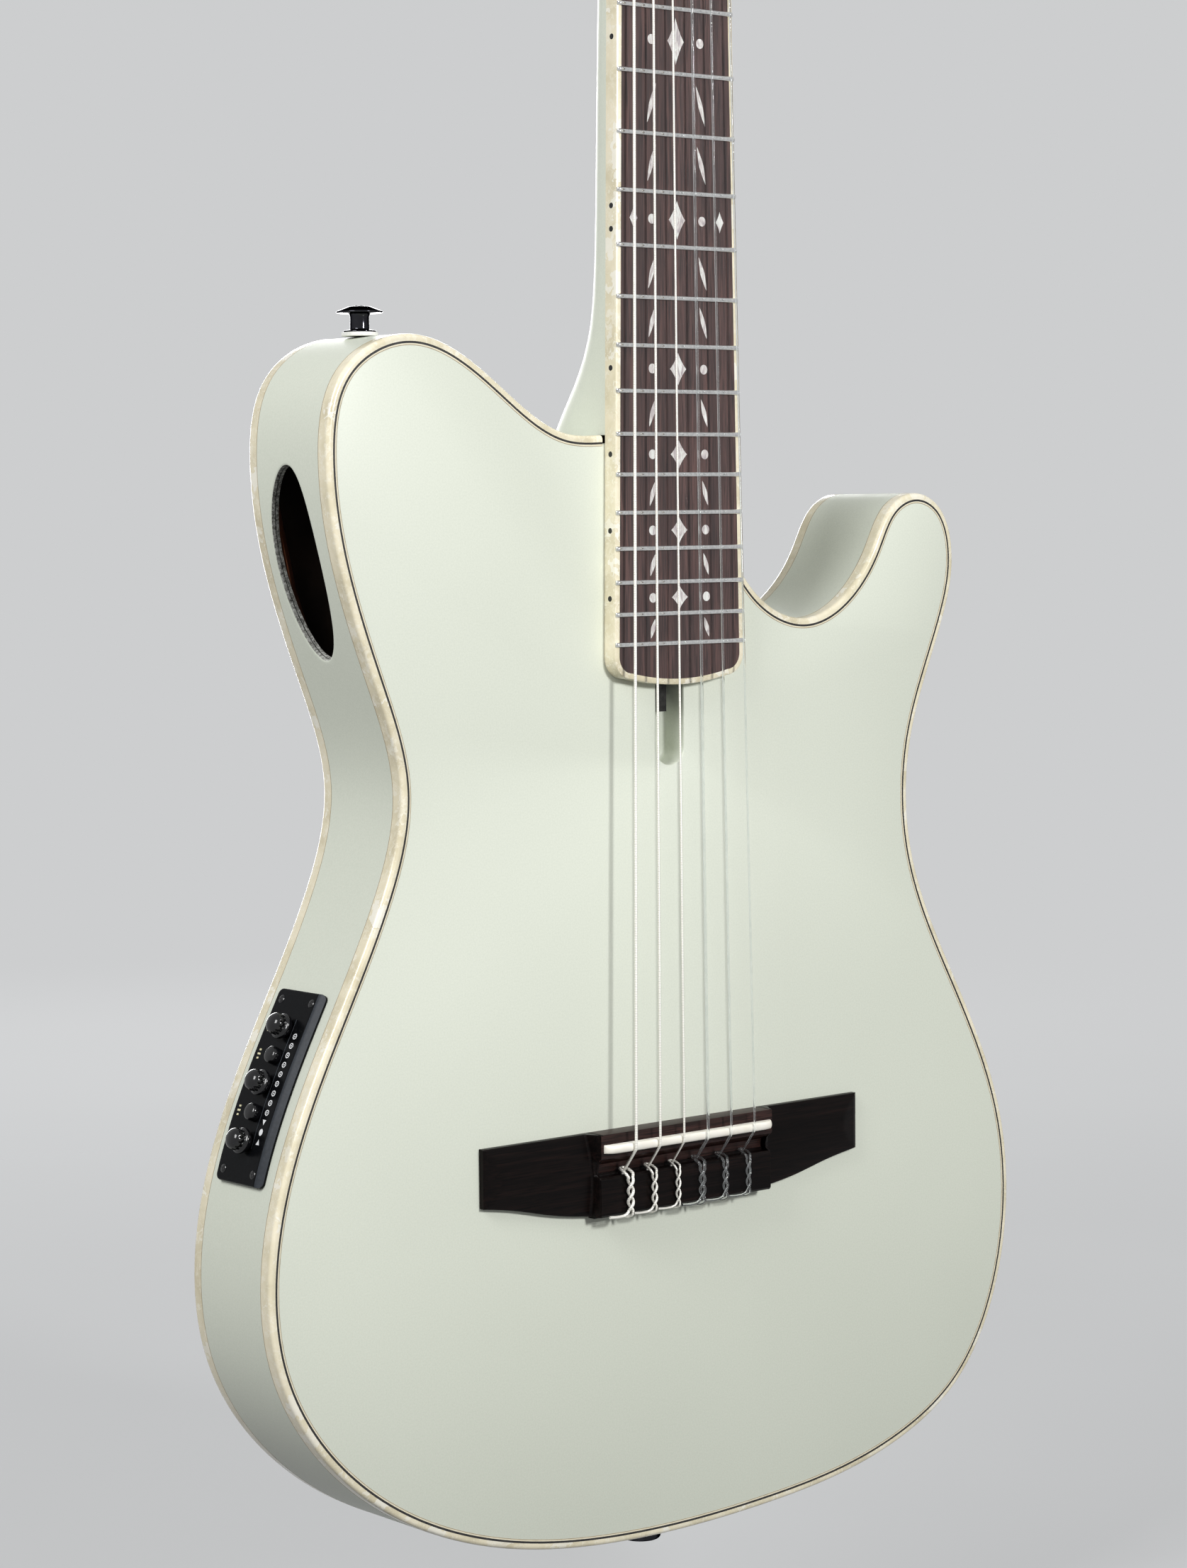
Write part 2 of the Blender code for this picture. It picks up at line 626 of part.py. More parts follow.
def make_nut():
    """The nut, with a notch under each string."""
    half = NUT_WIDTH / 2 - 0.2 * MM
    top = NUT_NOTCH_Y - 1.0 * MM
    outline = [(-half, -GAP), (-half, top + 1.2 * MM), (-half + 1.2 * MM, top)]
    for index, (_, diameter) in enumerate(STRINGS):
        x = nut_x(index)
        wide = diameter / 2 + 0.4 * MM
        outline += [(x - wide, top), (x - 0.8 * wide, NUT_NOTCH_Y), (x + 0.8 * wide, NUT_NOTCH_Y),
                    (x + wide, top)]
    outline += [(half - 1.2 * MM, top), (half, top + 1.2 * MM), (half, -GAP)]
    solid("nut", loft([[(x, y, z) for x, y in outline] for z in (GAP, NUT_LENGTH)]), BONE)


# Bridge

def make_bridge():
    """Thin wings, a ridge for the saddle and a tie block drilled for the strings."""
    right = in_mm([(42.6, -25.5), (43.2, -24.6), (72, -19.6), (90, -16), (90, 5.3)])
    outline = right + [(-x, z) for x, z in right[::-1]]
    bridge = solid("bridge", prism([(x, z + SADDLE_Z) for x, z in outline], BRIDGE_BASE_Y, -GAP),
                   BRIDGE_WOOD)
    ridge = in_mm([(-1, 5.0), (-6.4, 4.7), (-8.2, 3.4), (-8.2, -3.6), (-6.4, -5.4), (-1, -5.6)])
    block = [(-MM, TIE_BLOCK_BACK), (TIE_BLOCK_TOP_Y + 0.7 * MM, TIE_BLOCK_BACK),
             (TIE_BLOCK_TOP_Y, TIE_BLOCK_BACK + 0.8 * MM),
             (TIE_BLOCK_TOP_Y, TIE_BLOCK_FRONT - 0.8 * MM),
             (TIE_BLOCK_TOP_Y + 0.7 * MM, TIE_BLOCK_FRONT), (-MM, TIE_BLOCK_FRONT)]
    for section in ([(y, z + SADDLE_Z) for y, z in ridge], block):
        rings = []
        for x, limit in ((-42.4, -4.4), (-41.2, -9), (41.2, -9), (42.4, -4.4)):
            rings.append([(x * MM, max(y, limit * MM), z) for y, z in section])
        boolean(bridge, loft(rings), "UNION")
    for side in (-1, 1):
        facet = [(side * 91 * MM, -2.3 * MM), (side * 78 * MM, -3.6 * MM), (side * 78 * MM, -9 * MM),
                 (side * 91 * MM, -9 * MM)]
        boolean(bridge, loft([[(x, y, z * MM + SADDLE_Z) for x, y in facet] for z in (-27, 8)]))
    boolean(bridge, box(-40.5 * MM, 40.5 * MM, -9 * MM, -2.3 * MM, SADDLE_Z - 1.9 * MM,
                        SADDLE_Z + 1.9 * MM))
    holes = []
    for index, (_, diameter) in enumerate(STRINGS):
        radius = diameter / 2 + 0.5 * MM
        hole = turned([(radius, TIE_BLOCK_BACK - 3 * MM), (radius, TIE_BLOCK_FRONT + 1.5 * MM)], 8)
        holes.append(moved(hole, x=saddle_x(index), y=TIE_HOLE_Y))
    boolean(bridge, merged(holes))


def make_saddle():
    """The saddle with rounded ends and a crowned top, standing on its pickup strip."""
    half = 40.1 * MM
    outline = [(-half, -4.1 * MM), (-half, -9.6 * MM), (-38.6 * MM, -11.2 * MM),
               (-36 * MM, SADDLE_TOP_Y), (36 * MM, SADDLE_TOP_Y), (38.6 * MM, -11.2 * MM),
               (half, -9.6 * MM), (half, -4.1 * MM)]
    rings = []
    for z, lower in ((-1.5, 0.7), (-0.8, 0), (0.8, 0), (1.5, 0.7)):
        rings.append([(x, y + lower * MM if y < -9 * MM else y, SADDLE_Z + z * MM)
                      for x, y in outline])
    solid("saddle", loft(rings), BONE)
    solid("pickup_strip", box(-40 * MM, 40 * MM, -3.8 * MM, -2.6 * MM, SADDLE_Z - 1.4 * MM,
                              SADDLE_Z + 1.4 * MM), PIEZO)


# Electronics and strap hardware

def preamp_block(margin, inner, outer):
    """The straight block that carries the electronics through the side."""
    middle, outward = side_place(PREAMP_MIDDLE)
    run = np.array([-outward[1], outward[0]])
    half = PREAMP_LENGTH / 2 - 7 * MM + margin
    front = PREAMP_FRONT_Y + 4 * MM - margin
    back = PREAMP_BACK_Y - 4 * MM + margin
    rings = []
    for reach in (inner, outer):
        ring = []
        for along, depth in ((-half, front), (half, front), (half, back), (-half, back)):
            place = middle + run * along + outward * reach
            ring.append((place[0], depth, place[1]))
        rings.append(ring)
    return loft(rings)


def panel_shape():
    """The panel's skin: rings along the side, with a broad front bevel and clipped corners."""
    half = PREAMP_LENGTH / 2
    corner = 2.2 * MM
    rings = []
    for along in (-half, -half + 0.7 * MM, -half + corner, -0.45 * half, 0.13 * half,
                  half - corner, half - 0.7 * MM, half):
        near = abs(along) > half - 0.1 * MM
        clip = corner * (1 if near else 0.35) if abs(along) > half - MM else 0
        front, back = PREAMP_FRONT_Y + clip, PREAMP_BACK_Y - clip
        proud = PREAMP_PROUD - (0.8 * MM if near else 0)
        section = [(GAP, front), (0.9 * MM, front), (proud, PREAMP_FRONT_Y + 3 * MM),
                   (proud, back - 0.6 * MM), (proud - 0.6 * MM, back), (GAP, back)]
        rings.append([on_side(PREAMP_MIDDLE + along, reach, depth) for reach, depth in section])
    return loft(rings)


def knob_shape():
    """A domed knob with a fluted skirt, on a stem that passes through the panel."""
    steps = 18
    profile = in_mm([(0, -0.6), (1.9, -0.6), (1.9, 2.7), (4.7, 2.7), (4.3, 7.4), (2.6, 9.6),
                     (0, 10.0)])
    points, faces = turned(profile, steps)
    shaped = []
    for x, y, height in points:
        fluted = math.hypot(x, y) > 4 * MM
        dip = fluted and round(math.atan2(y, x) / (2 * math.pi) * steps) % 2
        shaped.append((x * (0.93 if dip else 1), y * (0.93 if dip else 1), height))
    return shaped, faces


def make_preamp():
    """Box inside the body, panel that follows the side, three knobs and two push buttons."""
    solid("preamp_box", preamp_block(0, -26 * MM, -3.4 * MM), BLACK_PLASTIC)
    panel = solid("preamp_panel", panel_shape(), BLACK_PLASTIC, smooth=30)
    knob = make_mesh("knob", knob_shape(), BLACK_PLASTIC, smooth=30)
    button_profile = in_mm([(0, -0.6), (2.2, -0.6), (2.2, 3.9), (2.9, 3.9), (2.9, 4.5), (1.9, 5.3),
                            (0, 5.5)])
    button = make_mesh("push_button", turned(button_profile, 14), BLACK_PLASTIC, smooth=40)
    for rank, name in enumerate(CONTROLS):
        point, outward = side_place(PREAMP_MIDDLE + (rank - 2) * CONTROL_STEP)
        turn = Vector((outward[0], 0, outward[1])).to_track_quat("Z", "X").to_matrix().to_4x4()
        place = Matrix.Translation((point[0], CONTROL_Y, point[1])) @ turn
        is_knob = name.startswith("knob")
        radius = 2.4 * MM if is_knob else 2.7 * MM
        boolean(panel, turned([(radius, -0.6 * MM), (radius, 6 * MM)], 12), place=place)
        link(name, knob if is_knob else button, place=place)


def make_strap_hardware():
    """Strap button and washer on the bass shoulder, and the jack that is also the end pin."""
    shoulder = Matrix.Translation((-118.5 * MM, BODY_DEPTH / 2, SADDLE_Z + 284.4 * MM))
    washer = in_mm([(2.2, 0.3), (6.2, 0.3), (6.2, 1.4), (2.2, 1.4)])
    solid("strap_washer", turned_ring(washer, 16), WASHER, smooth=35, place=shoulder)
    button = in_mm([(0, 0.4), (1.8, 0.4), (1.8, 1.7), (5.6, 1.7), (3.4, 3.8), (3.4, 5.6), (4.8, 6.8),
                    (7.3, 7.3), (7.7, 7.9), (7.2, 8.6), (3.4, 9.0)])
    solid("strap_button", turned(button, 16), CHROME, smooth=35, place=shoulder)
    tail = Matrix.Translation((JACK_X, BODY_DEPTH / 2, JACK_Z))
    sleeve = in_mm([(3.3, -7.6), (7.0, -7.6), (7.6, -7.0), (7.6, -5.4), (5.2, -4.6), (5.2, -2.4),
                    (8.2, -1.9), (8.2, -0.6), (5.7, -0.6), (5.7, 30), (3.3, 30)])
    solid("end_pin_jack", turned_ring(sleeve, 14), CHROME, smooth=35, place=tail)


def make_battery():
    """Nine-volt battery in a clip on the back plate, within reach of the sound port."""
    floor = BODY_DEPTH - PLATE_THICKNESS - GAP
    x0, x1 = -104 * MM, -56 * MM
    z0, z1 = SADDLE_Z + 190 * MM, SADDLE_Z + 216.5 * MM
    wall = 1.5 * MM
    room = 0.4 * MM
    clip = solid("battery_clip", box(x0 - wall - room, x1, floor - 15 * MM, floor,
                                     z0 - wall - room, z1 + wall + room), BLACK_PLASTIC)
    boolean(clip, box(x0 - room, x1 + 3 * MM, floor - 20 * MM, floor - wall, z0 - room, z1 + room))
    solid("battery", box(x0, x1 - MM, floor - 19 * MM, floor - wall - room, z0, z1), BATTERY_CASE)


# Machine heads

def gear_shape(side):
    """A worm wheel whose teeth follow the worm's lead, with a gap between teeth facing up."""
    tip, root = GEAR_RADIUS + 0.5 * MM, GEAR_RADIUS - 0.85 * MM
    tip_turn, root_turn = 0.25 * MM / tip, 0.62 * MM / root
    rings = []
    for offset in (-GEAR_THICKNESS / 2, GEAR_THICKNESS / 2):
        twist = offset / (GEAR_TEETH * WORM_RADIUS)
        ring = []
        for tooth in range(GEAR_TEETH):
            middle = 2 * math.pi * (tooth + 0.5) / GEAR_TEETH + twist
            for radius, turn in ((root, -root_turn), (tip, -tip_turn), (tip, tip_turn),
                                 (root, root_turn)):
                angle = middle + turn
                ring.append((side * DRIVE_X + offset, -radius * math.sin(angle),
                             radius * math.cos(angle)))
        rings.append(ring)
    return loft(rings)


def thread_shape():
    """The worm's right-handed thread along Y, fading out at both ends."""
    turns, steps = 2.5, 8
    base, crest = WORM_SHAFT_RADIUS - 0.25 * MM, WORM_RADIUS + 0.6 * MM
    rings = []
    last = int(turns * steps)
    for k in range(last + 1):
        turn = k / steps - turns / 2
        angle = 2 * math.pi * turn + math.pi
        fade = min(1, k / 3, (last - k) / 3)
        height = base + 0.1 * MM + (crest - base - 0.1 * MM) * fade
        ring = []
        for radius, offset in ((base, -0.6), (height, -0.17), (height, 0.17), (base, 0.6)):
            ring.append((radius * math.sin(angle), WORM_PITCH * turn + offset * MM,
                         radius * math.cos(angle)))
        rings.append(ring)
    return loft(rings)


def roller_shape(side):
    """The string roller on its axle, which runs out through the plate to the worm wheel."""
    clear = 0.4 * MM
    profile = [(AXLE_RADIUS, 3.4 * MM), (AXLE_RADIUS, SLOT_INNER_X + clear),
               (ROLLER_RADIUS, SLOT_INNER_X + clear), (ROLLER_RADIUS, SLOT_OUTER_X - clear),
               (AXLE_RADIUS, SLOT_OUTER_X - clear), (AXLE_RADIUS, DRIVE_X)]
    return turned([(radius, side * x) for radius, x in profile], 10, axis="X")


def button_shape():
    """An oval tuner button along Y, wider along the head than across it."""
    rings = []
    for depth, wide, thin in ((14.9, 2.8, 2.4), (16.2, 3.6, 3.0), (19, 6.8, 3.2), (24, 8.4, 3.3),
                              (29, 7.4, 3.1), (31.6, 4.8, 2.4), (32.4, 2.2, 1.4)):
        rings.append([(thin * MM * math.sin(a), depth * MM, wide * MM * math.cos(a))
                      for a in (2 * math.pi * k / 12 for k in range(12))])
    return loft(rings)


def make_tuner_plate(name, side, head):
    """A plate on the head's side, with two lugs for each worm and a hole for each axle."""
    inner = HEAD_HALF_WIDTH + GAP
    outer = inner + PLATE_SHEET
    low, high = roller_height(0) - 12 * MM, roller_height(2) + 16 * MM
    sheet = box(side * inner, side * outer, 1.6 * MM, HEAD_THICKNESS - 1.6 * MM, low, high)
    plate = solid(name, sheet, NICKEL, parent=head)
    bore_radius = WORM_SHAFT_RADIUS + 0.45 * MM
    lugs, holes = [], []
    for rank in range(3):
        worm_u = roller_height(rank) + WORM_OFFSET_U
        for v in (ROLLER_V - 7.1 * MM, ROLLER_V + 5.1 * MM):
            lugs.append(box(side * (outer - 0.6 * MM), side * (DRIVE_X + 2.7 * MM), v, v + 2 * MM,
                            worm_u - 2.7 * MM, worm_u + 2.7 * MM))
        bore = turned([(bore_radius, -12 * MM), (bore_radius, 14 * MM)], 8, axis="Y")
        holes.append(moved(bore, side * DRIVE_X, ROLLER_V, worm_u))
        holes.append(axle_hole(side, rank, 33 * MM, 38 * MM))
    boolean(plate, merged(lugs), "UNION", parent=head)
    boolean(plate, merged(holes), parent=head)


def make_machine_heads(head):
    """Two plates, six rollers with their worm wheels, six worms and six buttons."""
    shaft = in_mm([(0, -8.9), (1.2, -8.9), (1.2, 14.6), (0, 14.6)])
    worm = make_mesh("worm", turned(shaft, 8, axis="Y"), NICKEL, smooth=35)
    button = make_mesh("tuner_button", button_shape(), PEARLOID, smooth=40)
    for side, side_name in ((-1, "bass"), (1, "treble")):
        make_tuner_plate(f"tuner_plate_{side_name}", side, head)
        roller = make_mesh(f"roller_{side_name}", roller_shape(side), BONE, smooth=35)
        for rank in range(3):
            name = f"{side_name}_{rank + 1}"
            up = roller_height(rank)
            axle = Matrix.Translation((0, ROLLER_V, up))
            drive = Matrix.Translation((side * DRIVE_X, ROLLER_V, up + WORM_OFFSET_U))
            turning = link(f"roller_{name}", roller, head, axle)
            boolean(turning, gear_shape(side), "UNION", parent=head, place=axle)
            driving = link(f"worm_{name}", worm, head, drive)
            boolean(driving, thread_shape(), "UNION", parent=head, place=drive)
            link(f"tuner_button_{name}", button, head, drive)


# Strings

def nut_x(index):
    return (index - 2.5) * NUT_STRING_STEP


def saddle_x(index):
    return (index - 2.5) * SADDLE_STRING_STEP


def tie_route(index, radius):
    """The string from its free tail to the saddle.

    The tail's strand runs forward over the tie block, crosses under the sounding string in
    front of the block, comes back twisted with itself, turns down behind the block and goes
    forward through its hole.
    """
    x = saddle_x(index)
    twist = 1.2 * radius + 0.26 * MM
    height = TIE_BLOCK_TOP_Y - GAP - radius - twist
    front, back = TIE_BLOCK_FRONT - 0.9 * MM, TIE_BLOCK_BACK + 1.6 * MM
    steps = 12

    def strand(phase):
        run = []
        for k in range(steps + 1):
            angle = phase + 3 * math.pi * k / steps
            run.append((x + twist * math.cos(angle), height + twist * math.sin(angle),
                        back + (front - back) * k / steps))
        return run

    wide = 2 * radius + 0.5 * MM
    low = BRIDGE_BASE_Y - GAP - radius
    hook_z = TIE_BLOCK_FRONT + 0.45 * MM + radius
    side = [(wide, height + 0.4 * MM, hook_z - radius), (wide, -6.4 * MM, hook_z + 0.6 * MM),
            (0.72 * wide, low - 0.5 * MM, hook_z + MM)]
    hook = [(x + dx, y, z) for dx, y, z in side] + [(x, low, hook_z + 1.1 * MM)]
    hook += [(x - dx, y, z) for dx, y, z in side[::-1]]
    behind = TIE_BLOCK_BACK - 0.4 * MM - radius
    tail = [(x - 9.4 * MM, height + 0.5 * MM, behind + 1.1 * MM),
            (x - 6.0 * MM, height + 0.4 * MM, behind + 0.8 * MM),
            (x - 3.0 * MM, height + 0.2 * MM, behind + 0.9 * MM),
            (x - twist - 0.7 * MM, height, back - 0.9 * MM)]
    wrap = [(x + 0.9 * twist, height, behind + 1.0 * MM),
            (x + 0.5 * twist, height + 1.6 * MM, behind + 0.1 * MM),
            (x, TIE_HOLE_Y - 1.2 * MM, behind), (x, TIE_HOLE_Y - 0.3 * MM, behind + 0.15 * MM),
            (x, TIE_HOLE_Y, behind + 0.8 * MM), (x, TIE_HOLE_Y, TIE_BLOCK_FRONT + 0.3 * MM)]
    return tail + strand(math.pi) + hook + strand(0)[::-1] + wrap


def coil_route(index, radius):
    """The string behind the nut: down into its slot and round its roller."""
    side = -1 if index < 3 else 1
    rank = index if index < 3 else 5 - index
    up = roller_height(rank)
    around = ROLLER_RADIUS + 0.35 * MM + radius
    pitch = 2 * radius + 0.45 * MM
    nut_v = (NUT_NOTCH_Y - radius) * math.cos(HEAD_ANGLE)
    reach = math.hypot(up, ROLLER_V - nut_v)
    first = math.atan2(ROLLER_V - nut_v, up) - math.asin(around / reach)
    steps = 24
    route = []
    for k in range(int(COIL_TURNS * steps) + 1):
        angle = first + 2 * math.pi * k / steps
        route.append(head_point(side * (COIL_START_X[rank] - pitch * k / steps),
                                ROLLER_V - around * math.cos(angle), up + around * math.sin(angle)))
    return route


def least_gap(route, radius):
    """The least distance between parts of a tube that aren't neighbours along it."""
    points = np.array(route)
    fine = np.concatenate([points[:-1] + (points[1:] - points[:-1]) * t for t in (0, 0.25, 0.5, 0.75)])
    order = np.concatenate([np.arange(len(points) - 1) + t for t in (0, 0.25, 0.5, 0.75)])
    length = np.concatenate([[0], np.cumsum(np.linalg.norm(np.diff(points, axis=0), axis=1))])
    along = np.interp(order, np.arange(len(points)), length)
    apart = np.linalg.norm(fine[:, None] - fine[None], axis=2)
    far = np.abs(along[:, None] - along[None]) > 7 * radius
    return apart[far].min() - 2 * radius


def make_strings():
    """Each string whole: tied at the bridge, over saddle and nut, wound on its roller."""
    for index, (name, diameter) in enumerate(STRINGS):
        radius = diameter / 2
        over_saddle = SADDLE_TOP_Y - GAP - radius
        over_nut = NUT_NOTCH_Y - GAP - radius
        middle = [(saddle_x(index), over_saddle, SADDLE_Z - 0.6 * MM),
                  (saddle_x(index), over_saddle, SADDLE_Z + 0.5 * MM),
                  (nut_x(index), over_nut, 0), (nut_x(index), over_nut, NUT_LENGTH)]
        route = tie_route(index, radius) + middle + coil_route(index, radius)
        print(f"{name}: least gap to itself {least_gap(route, radius) / MM:.2f} mm")
        curve = bpy.data.curves.new(name, "CURVE")
        curve.dimensions = "3D"
        curve.bevel_depth = radius
        curve.bevel_resolution = 1
        curve.use_fill_caps = True
        spline = curve.splines.new("POLY")
        spline.points.add(len(route) - 1)
        for point, place in zip(spline.points, route):
            point.co = (*place, 1.0)
        curve.materials.append(material(WOUND_STRING if index < WOUND_STRINGS else NYLON_STRING))
        link(name, curve)


def main():
    clear_scene()
    make_plates()
    make_sides()
    make_linings()
    make_bindings()
    make_blocks()
    make_bracing()
    head = make_head_frame()
    make_neck(head)
    make_truss_rod()
    make_fretboard()
    make_nut()
    make_bridge()
    make_saddle()
    make_preamp()
    make_strap_hardware()
    make_battery()
    make_machine_heads(head)
    make_strings()
    bpy.context.view_layer.update()


main()
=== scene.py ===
# %% [markdown]
# # Dressing a thin-bodied nylon-string guitar
# The solids of this guitar are already made: they fix every size and every moving part. This
# lesson puts the looks around them. Each piece is a surface worked out with numpy in metres, in the
# frame of the solids: X to the treble side, Y to the back, Z up the neck. The origin lies on the
# neck's centreline, in the plane of the soundboard, under the nut.
# %% Load the frame
import json
import math

import bmesh
import bpy
import numpy as np
from mathutils import Matrix, Vector

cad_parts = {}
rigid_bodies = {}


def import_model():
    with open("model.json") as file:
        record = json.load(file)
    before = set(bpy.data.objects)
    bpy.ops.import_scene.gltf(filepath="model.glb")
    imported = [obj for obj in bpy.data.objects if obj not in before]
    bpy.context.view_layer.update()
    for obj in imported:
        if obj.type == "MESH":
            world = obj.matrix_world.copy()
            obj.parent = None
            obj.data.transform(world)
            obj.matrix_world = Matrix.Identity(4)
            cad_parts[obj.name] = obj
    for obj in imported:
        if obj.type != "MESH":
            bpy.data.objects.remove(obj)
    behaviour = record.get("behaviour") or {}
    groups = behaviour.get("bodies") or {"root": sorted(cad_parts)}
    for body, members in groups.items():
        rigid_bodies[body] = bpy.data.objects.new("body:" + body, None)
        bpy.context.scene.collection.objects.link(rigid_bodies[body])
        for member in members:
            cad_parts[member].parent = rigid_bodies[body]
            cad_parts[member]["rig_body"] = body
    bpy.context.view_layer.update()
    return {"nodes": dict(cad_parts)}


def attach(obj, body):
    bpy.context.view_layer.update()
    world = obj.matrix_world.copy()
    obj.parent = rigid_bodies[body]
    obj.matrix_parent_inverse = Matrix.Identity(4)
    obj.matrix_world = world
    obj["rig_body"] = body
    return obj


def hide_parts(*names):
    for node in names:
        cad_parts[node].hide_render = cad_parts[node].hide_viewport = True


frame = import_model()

MM = 0.001

# %% [markdown]
# ## Camera
# The photograph looks at the guitar from its bass side and a little from above. The frets and the
# saddle are at known distances, so one camera fits them all: its place, its three angles, and the
# lens. A small shift puts the centre of the picture where the photographer had cropped it.
# %% The photograph's camera
PHOTO_WIDTH, PHOTO_HEIGHT = 1675, 2212
FOCAL_PIXELS = 5038
LENS_CENTRE = (803.9, 1253.6)
CAMERA_PLACE = (-0.847, -0.960, -0.411)
CAMERA_AZIMUTH, CAMERA_ELEVATION, CAMERA_ROLL = (math.radians(a) for a in (39.78, -5.946, -0.634))


def add_object(name, data):
    """A new object in the scene, from a mesh, a lamp or a camera."""
    made = bpy.data.objects.new(name, data)
    bpy.context.scene.collection.objects.link(made)
    return made


camera_data = bpy.data.cameras.new("photo_camera")
camera_data.sensor_fit = "AUTO"
camera_data.sensor_width = 36
camera_data.lens = 36 * FOCAL_PIXELS / PHOTO_HEIGHT
camera_data.shift_x = (PHOTO_WIDTH / 2 - LENS_CENTRE[0]) / PHOTO_HEIGHT
camera_data.shift_y = (LENS_CENTRE[1] - PHOTO_HEIGHT / 2) / PHOTO_HEIGHT
camera_data.clip_start = 0.01
camera = add_object("photo_camera", camera_data)
camera.matrix_world = (Matrix.Translation(CAMERA_PLACE)
                       @ Matrix.Rotation(-CAMERA_AZIMUTH, 4, "Z")
                       @ Matrix.Rotation(math.pi / 2 + CAMERA_ELEVATION, 4, "X")
                       @ Matrix.Rotation(CAMERA_ROLL, 4, "Z"))
bpy.context.scene.camera = camera
print(f"lens {camera_data.lens:.1f} mm, shift {camera_data.shift_x:.3f} {camera_data.shift_y:.3f}")

# %% [markdown]
# ## Finishes
# A finish is a small graph of shader nodes. Patterns such as grain and flakes are worked out from
# the object's own coordinates, in metres, so they stay at their real scale: a noise of scale 200
# has a cell of 5 mm. What is the same all over is set on the shader itself.
# %% Colours and nodes
def tone(red, green, blue):
    """A screen colour from 0 to 255 as the linear colour that the shader needs."""
    screen = np.array([red, green, blue]) / 255
    linear = np.where(screen <= 0.04045, screen / 12.92, ((screen + 0.055) / 1.055) ** 2.4)
    return (*linear.tolist(), 1.0)


def add_node(owner, kind, inputs=None, **properties):
    """A node in a finish or in the world. An input is a value, or the output that feeds it."""
    made = owner.node_tree.nodes.new(kind)
    for name, value in properties.items():
        setattr(made, name, value)
    for name, value in (inputs or {}).items():
        if isinstance(value, bpy.types.NodeSocket):
            owner.node_tree.links.new(value, made.inputs[name])
        else:
            made.inputs[name].default_value = value
    return made


def new_finish(name, roughness=0.4, metallic=0.0, **values):
    """A finish with its plain values set on the shader, and its coordinates in metres."""
    finish = bpy.data.materials.new(name)
    finish.use_nodes = True
    shader = finish.node_tree.nodes["Principled BSDF"]
    shader.inputs["Roughness"].default_value = roughness
    shader.inputs["Metallic"].default_value = metallic
    for key, value in values.items():
        shader.inputs[key.replace("_", " ")].default_value = value
    place = add_node(finish, "ShaderNodeTexCoord").outputs["Object"]
    return finish, shader, place


BLACK, WHITE = tone(0, 0, 0), tone(255, 255, 255)
print("middle grey in linear light:", round(tone(128, 128, 128)[0], 3))

# %% [markdown]
# A pattern is built from four steps: coordinates, a noise read at them, a ramp that turns the noise
# into colours, and a bump that turns it into relief. An image wrapped round the guitar would need
# seams and a fixed resolution. A noise has neither, and it runs on through every piece.
# %% Patterns
def stretched(finish, place, scale):
    """Coordinates scaled differently along each axis, which draws noise out into grain."""
    return add_node(finish, "ShaderNodeMapping", {"Vector": place, "Scale": scale}).outputs[0]


def noise(finish, place, scale, detail=3.0, roughness=0.5, distortion=0.0):
    """Soft random values, about half on average, with cells of one over the scale in metres."""
    return add_node(finish, "ShaderNodeTexNoise", {"Vector": place, "Scale": scale,
                    "Detail": detail, "Roughness": roughness, "Distortion": distortion}).outputs[0]


def ramp(finish, factor, stops):
    """Colours laid along a factor: each stop is a place from 0 to 1 and a colour."""
    made = add_node(finish, "ShaderNodeValToRGB", {"Fac": factor})
    elements = made.color_ramp.elements
    while len(elements) < len(stops):
        elements.new(0.5)
    for element, (at, colour) in zip(elements, stops):
        element.position = at
        element.color = colour
    return made.outputs["Color"]


def mixed(finish, factor, first, second):
    """One colour over another by a factor. The node keeps its colours on sockets 6 and 7."""
    made = add_node(finish, "ShaderNodeMix", {0: factor, 6: first, 7: second}, data_type="RGBA")
    return made.outputs[2]


def bumped(finish, shader, height, strength, distance):
    """A relief of a given depth in metres on the shader's normal."""
    made = add_node(finish, "ShaderNodeBump", {"Height": height, "Strength": strength,
                                              "Distance": distance})
    finish.node_tree.links.new(made.outputs[0], shader.inputs["Normal"])


def coloured(finish, shader, colour):
    """Feeds the shader's base colour from a node."""
    finish.node_tree.links.new(colour, shader.inputs["Base Color"])
    return finish


print("cells of a noise of scale 200:", 1000 / 200, "mm")

# %% [markdown]
# The body's paint is a satin sage white. A real sprayed face is never one flat colour: it has a
# fine grain and very slow changes of tone. Two noises give both, and the finer one also gives a
# relief of a few hundredths of a millimetre, so that a grazing light breaks up a little.
# %% Paint
def make_paint():
    """Satin paint: a fine grain mixed with a slow drift of tone."""
    finish, shader, place = new_finish("sage_paint", roughness=0.42, Specular_IOR_Level=0.45)
    fine = noise(finish, place, 1500, 2.0)
    slow = noise(finish, place, 9, 2.0)
    grain = ramp(finish, fine, [(0.3, tone(209, 214, 200)), (0.7, tone(222, 226, 213))])
    drift = ramp(finish, slow, [(0.35, tone(214, 219, 205)), (0.65, tone(219, 224, 210))])
    bumped(finish, shader, fine, 0.10, 0.00004)
    return coloured(finish, shader, mixed(finish, 0.5, grain, drift))


PAINT = make_paint()
print("paint:", PAINT.name)

